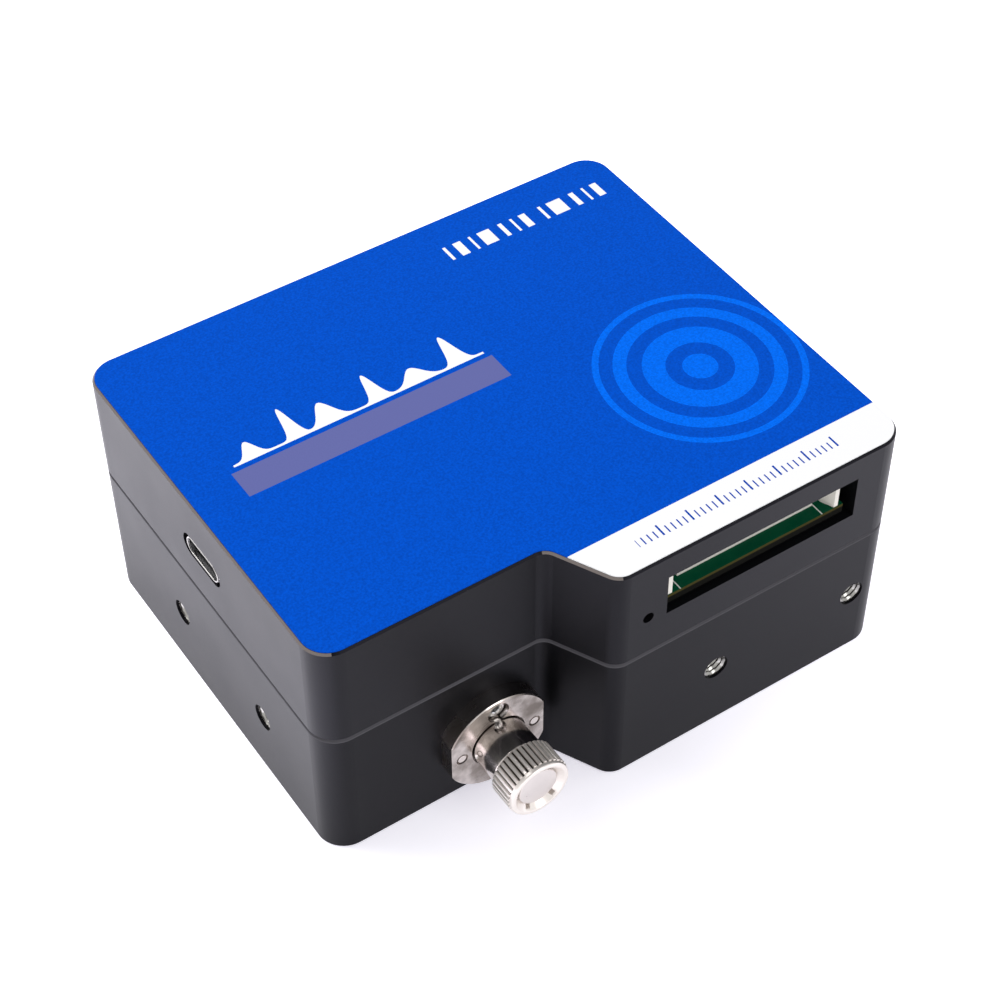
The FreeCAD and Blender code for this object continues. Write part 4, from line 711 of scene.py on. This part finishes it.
low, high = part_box("flange_screws")
screw_top = (PORT_Y - low.y) * MM_PER_M - SCREW_SINK
head_radius = COUNTERBORED_HEAD_RADIUS / MM_PER_M
screw_heights = (low.z + head_radius - PORT_Z, high.z - head_radius - PORT_Z)
for index, height in enumerate(screw_heights):
    screw = flange_screw(f"flange_screw_{index}", height, screw_top)
    piece(screw, steel, "screw_steel", "housing", "flange_screws")

# The four mounting holes in the lower front and left side have inserts coiled from steel wire, wound into
# the aluminium, whose ridges show as bright arcs.
COIL_PITCH, COIL_LENGTH = 0.7, 5.6
COIL_INNER_RADIUS, COIL_OUTER_RADIUS, RIDGE_HEIGHT = 1.62, 1.99, 0.3
INSERT_RADIUS = 2.0

# The wire's steel is painted darker than the screws' steel, as painted shade in the holes.
wire = bare_metal("insert_wire_painted_shade", (0.42, 0.41, 0.39), roughness=0.2)


def coil(name, foot, way, columns=72, rows=90):
    """A threaded sleeve: r(out, angle) = inner radius + ridge |2 frac(out / pitch - angle / 2 pi) - 1|.

    foot is the sleeve's outer end in mm and way the unit vector out of the hole.
    """
    depths = np.linspace(0, COIL_LENGTH, rows)
    inner = np.stack([np.full(rows, COIL_INNER_RADIUS), -depths], axis=1)
    profile = np.vstack([inner, [[COIL_OUTER_RADIUS, -COIL_LENGTH], [COIL_OUTER_RADIUS, 0.0]]])
    angle = round_steps(columns)
    radius, out = profile[:, :1], profile[:, 1:]
    ridge = RIDGE_HEIGHT * np.abs(2 * ((out / COIL_PITCH - angle / TURN) % 1) - 1)
    radius = np.where(radius < COIL_OUTER_RADIUS, radius + ridge, radius + 0 * angle)
    upwards = np.array((0, 0, 1))
    way = np.array(way, float)
    side = np.cross(upwards, way)
    grid = (np.array(foot) + way * out[..., None] + side * (radius * np.cos(angle))[..., None]
            + upwards * (radius * np.sin(angle))[..., None])
    return skin(name, grid / MM_PER_M)


def threads(label, node, way, axis):
    """One threaded sleeve in each of a node's two holes, placed by the node's box."""
    low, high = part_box(node)
    low, high = np.array(low) * MM_PER_M, np.array(high) * MM_PER_M
    for index, spot in enumerate((low[axis] + INSERT_RADIUS, high[axis] - INSERT_RADIUS)):
        foot = [low[0], low[1], (low[2] + high[2]) / 2]
        foot[axis] = spot
        piece(coil(f"{label}_{index}", foot, way), wire, "screw_steel", "housing", node)


threads("front_thread", "front_thread_inserts", (0, -1, 0), 0)
threads("side_thread", "side_thread_inserts", (-1, 0, 0), 1)

# The side socket's shell ends in a rolled and polished lip, 8.9 mm long, just inside the opening of the
# housing. It is steel sheet, as the shell is.
LIP_LENGTH, LIP_RADIUS, LIP_SINK = 8.9, 0.11, 0.17


def socket_lip(columns=160, rows=16):
    """A ring of round section on a stadium, two half circles joined by straights, in equal steps."""
    low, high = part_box("usb_shell")
    middle_y, middle_z = (low.y + high.y) / 2 * MM_PER_M, (low.z + high.z) / 2 * MM_PER_M
    bend = (high.z - low.z) / 2 * MM_PER_M - LIP_RADIUS
    straight = LIP_LENGTH - LIP_RADIUS * 2 - bend * 2
    lap = straight + math.pi * bend
    step = np.linspace(0, 2 * lap, columns, endpoint=False)
    side = np.where(step < lap, 1.0, -1.0)
    along = np.mod(step, lap)
    turn = np.maximum(along - straight, 0) / bend
    y = side * (np.minimum(along, straight) - straight / 2 + bend * np.sin(turn))
    z = -side * bend * np.cos(turn)
    outwards_y, outwards_z = side * np.sin(turn), -side * np.cos(turn)
    angle = np.linspace(0, TURN, rows, endpoint=False)[:, None]
    reach = LIP_RADIUS * np.cos(angle)
    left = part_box("base_housing")[0].x * MM_PER_M + LIP_SINK
    grid = np.stack([left + LIP_RADIUS * np.sin(angle) + 0 * y, middle_y + y + reach * outwards_y,
                     middle_z + z + reach * outwards_z], axis=-1)
    return skin("socket_lip", grid / MM_PER_M)


lip = socket_lip()
# The lip's steel is painted darker than the shell's, as painted shade.
lip.data.materials.append(bare_metal("polished_lip_painted_shade", (0.4, 0.39, 0.37), roughness=0.14))
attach(lip, "housing")

# The header's contacts are stamped from brass, and the main board's round spacers are turned from brass bar
# and screwed into the lid. Both are bare.
dress(bare_metal("bare_brass", (0.7, 0.5, 0.2), roughness=0.3), "io_contacts", "board_standoffs")

# The circuit boards are glass cloth under a green solder mask, with brown-green cut edges, olive at the top
# and near-black below as painted shade, and thin white printed lines that mark the ends of the wide header.
MASK_GREEN = (0.0, 0.06, 0.028)
MASK_DARK = (0.0, 0.05, 0.024)
MASK_LIGHT = (0.0, 0.085, 0.036)
MARK_WHITE = (0.7, 0.74, 0.7)
CUT_PAINTED_SHADE = (0.003, 0.003, 0.002)
CUT_OLIVE = (0.05, 0.043, 0.012)
CUT_OLIVE_FROM = 33.1
MARK_LEFTS, MARK_WIDTH, MARK_FRONT, MARK_BACK = (6.0, 30.75), 0.2, -37.75, -32.0


def circuit_board():
    """Solder mask on the faces, printed lines at the header's ends, and rough edges, olive on top and
    near-black below as painted shade.
    """
    material, tree, shader = finish("solder_mask", MASK_GREEN, roughness=0.35, specular=0.06)
    x, y, z = coordinates(tree)
    marks = either(tree, [rectangle(tree, x, y, left, left + MARK_WIDTH, MARK_FRONT, MARK_BACK)
                          for left in MARK_LEFTS])
    grain, patches = add_grain(tree, grain_size=0.0006, patch_size=0.004)
    face = toned(tree, marks, toned(tree, patches, MASK_DARK, MASK_LIGHT), MARK_WHITE)
    upright = calc(tree, "LESS_THAN", calc(tree, "ABSOLUTE", tilt(tree)[2]), 0.5)
    # The near-black on the cut edges below the olive band is painted shade.
    cut = toned(tree, calc(tree, "GREATER_THAN", z, CUT_OLIVE_FROM), CUT_PAINTED_SHADE, CUT_OLIVE)
    tree.links.new(toned(tree, upright, face, cut), shader.inputs["Base Color"])
    tree.links.new(between(tree, upright, at_zero=0.35, at_one=0.95), shader.inputs["Roughness"])
    bump(tree, shader, grain, depth=0.00001)
    return material


dress(circuit_board(), "main_board", "detector_board")

# The header, the chips, the socket's tongue, the light guide and the status lamp are moulded plastic, the
# seal is rubber, the ribbon is amber film, and the cooler and the detector's case are white ceramic.


def moulded(name, color, roughness):
    """A moulded or pressed surface with a fine grain, a little darker in patches."""
    material, tree, shader = finish(name, color, roughness)
    grain, patches = add_grain(tree, grain_size=0.0002, patch_size=0.005)
    tree.links.new(toned(tree, patches, shade(color, share=0.85), color), shader.inputs["Base Color"])
    tree.links.new(between(tree, grain, roughness - 0.05, roughness + 0.08), shader.inputs["Roughness"])
    bump(tree, shader, grain, depth=0.000008)
    return material


dress(moulded("ivory_moulding", (0.88, 0.84, 0.78), roughness=0.4), "io_header")
black_plastic = moulded("black_moulding", (0.015, 0.015, 0.016), roughness=0.5)
dress(black_plastic, "board_chips", "usb_tongue", "cable_headers")
dress(moulded("seal_rubber", (0.02, 0.02, 0.02), roughness=0.7), "housing_gasket")
ceramic = moulded("white_ceramic", (0.75, 0.74, 0.69), roughness=0.6)
dress(ceramic, "thermoelectric_cooler", "detector_package")
dress(moulded("amber_film", (0.42, 0.19, 0.03), roughness=0.35), "detector_cable")
dress(moulded("clear_plastic", (0.015, 0.015, 0.016), roughness=0.15), "light_guide")
dress(moulded("clear_lens", (0.3, 0.34, 0.32), roughness=0.15), "status_led")

# The mirrors and the grating are ground glass blanks with a bright metal coating, and the detector's window
# and filter are thin polished plates, dark because of what lies behind them.
mirror_coating = bare_metal("mirror_coating", (0.9, 0.9, 0.91), roughness=0.05, grain_depth=0.0)
dress(mirror_coating, "collimating_mirror", "focusing_mirror", "diffraction_grating")
dress(moulded("coated_glass", (0.1, 0.12, 0.13), roughness=0.1), "detector_window", "order_filter")
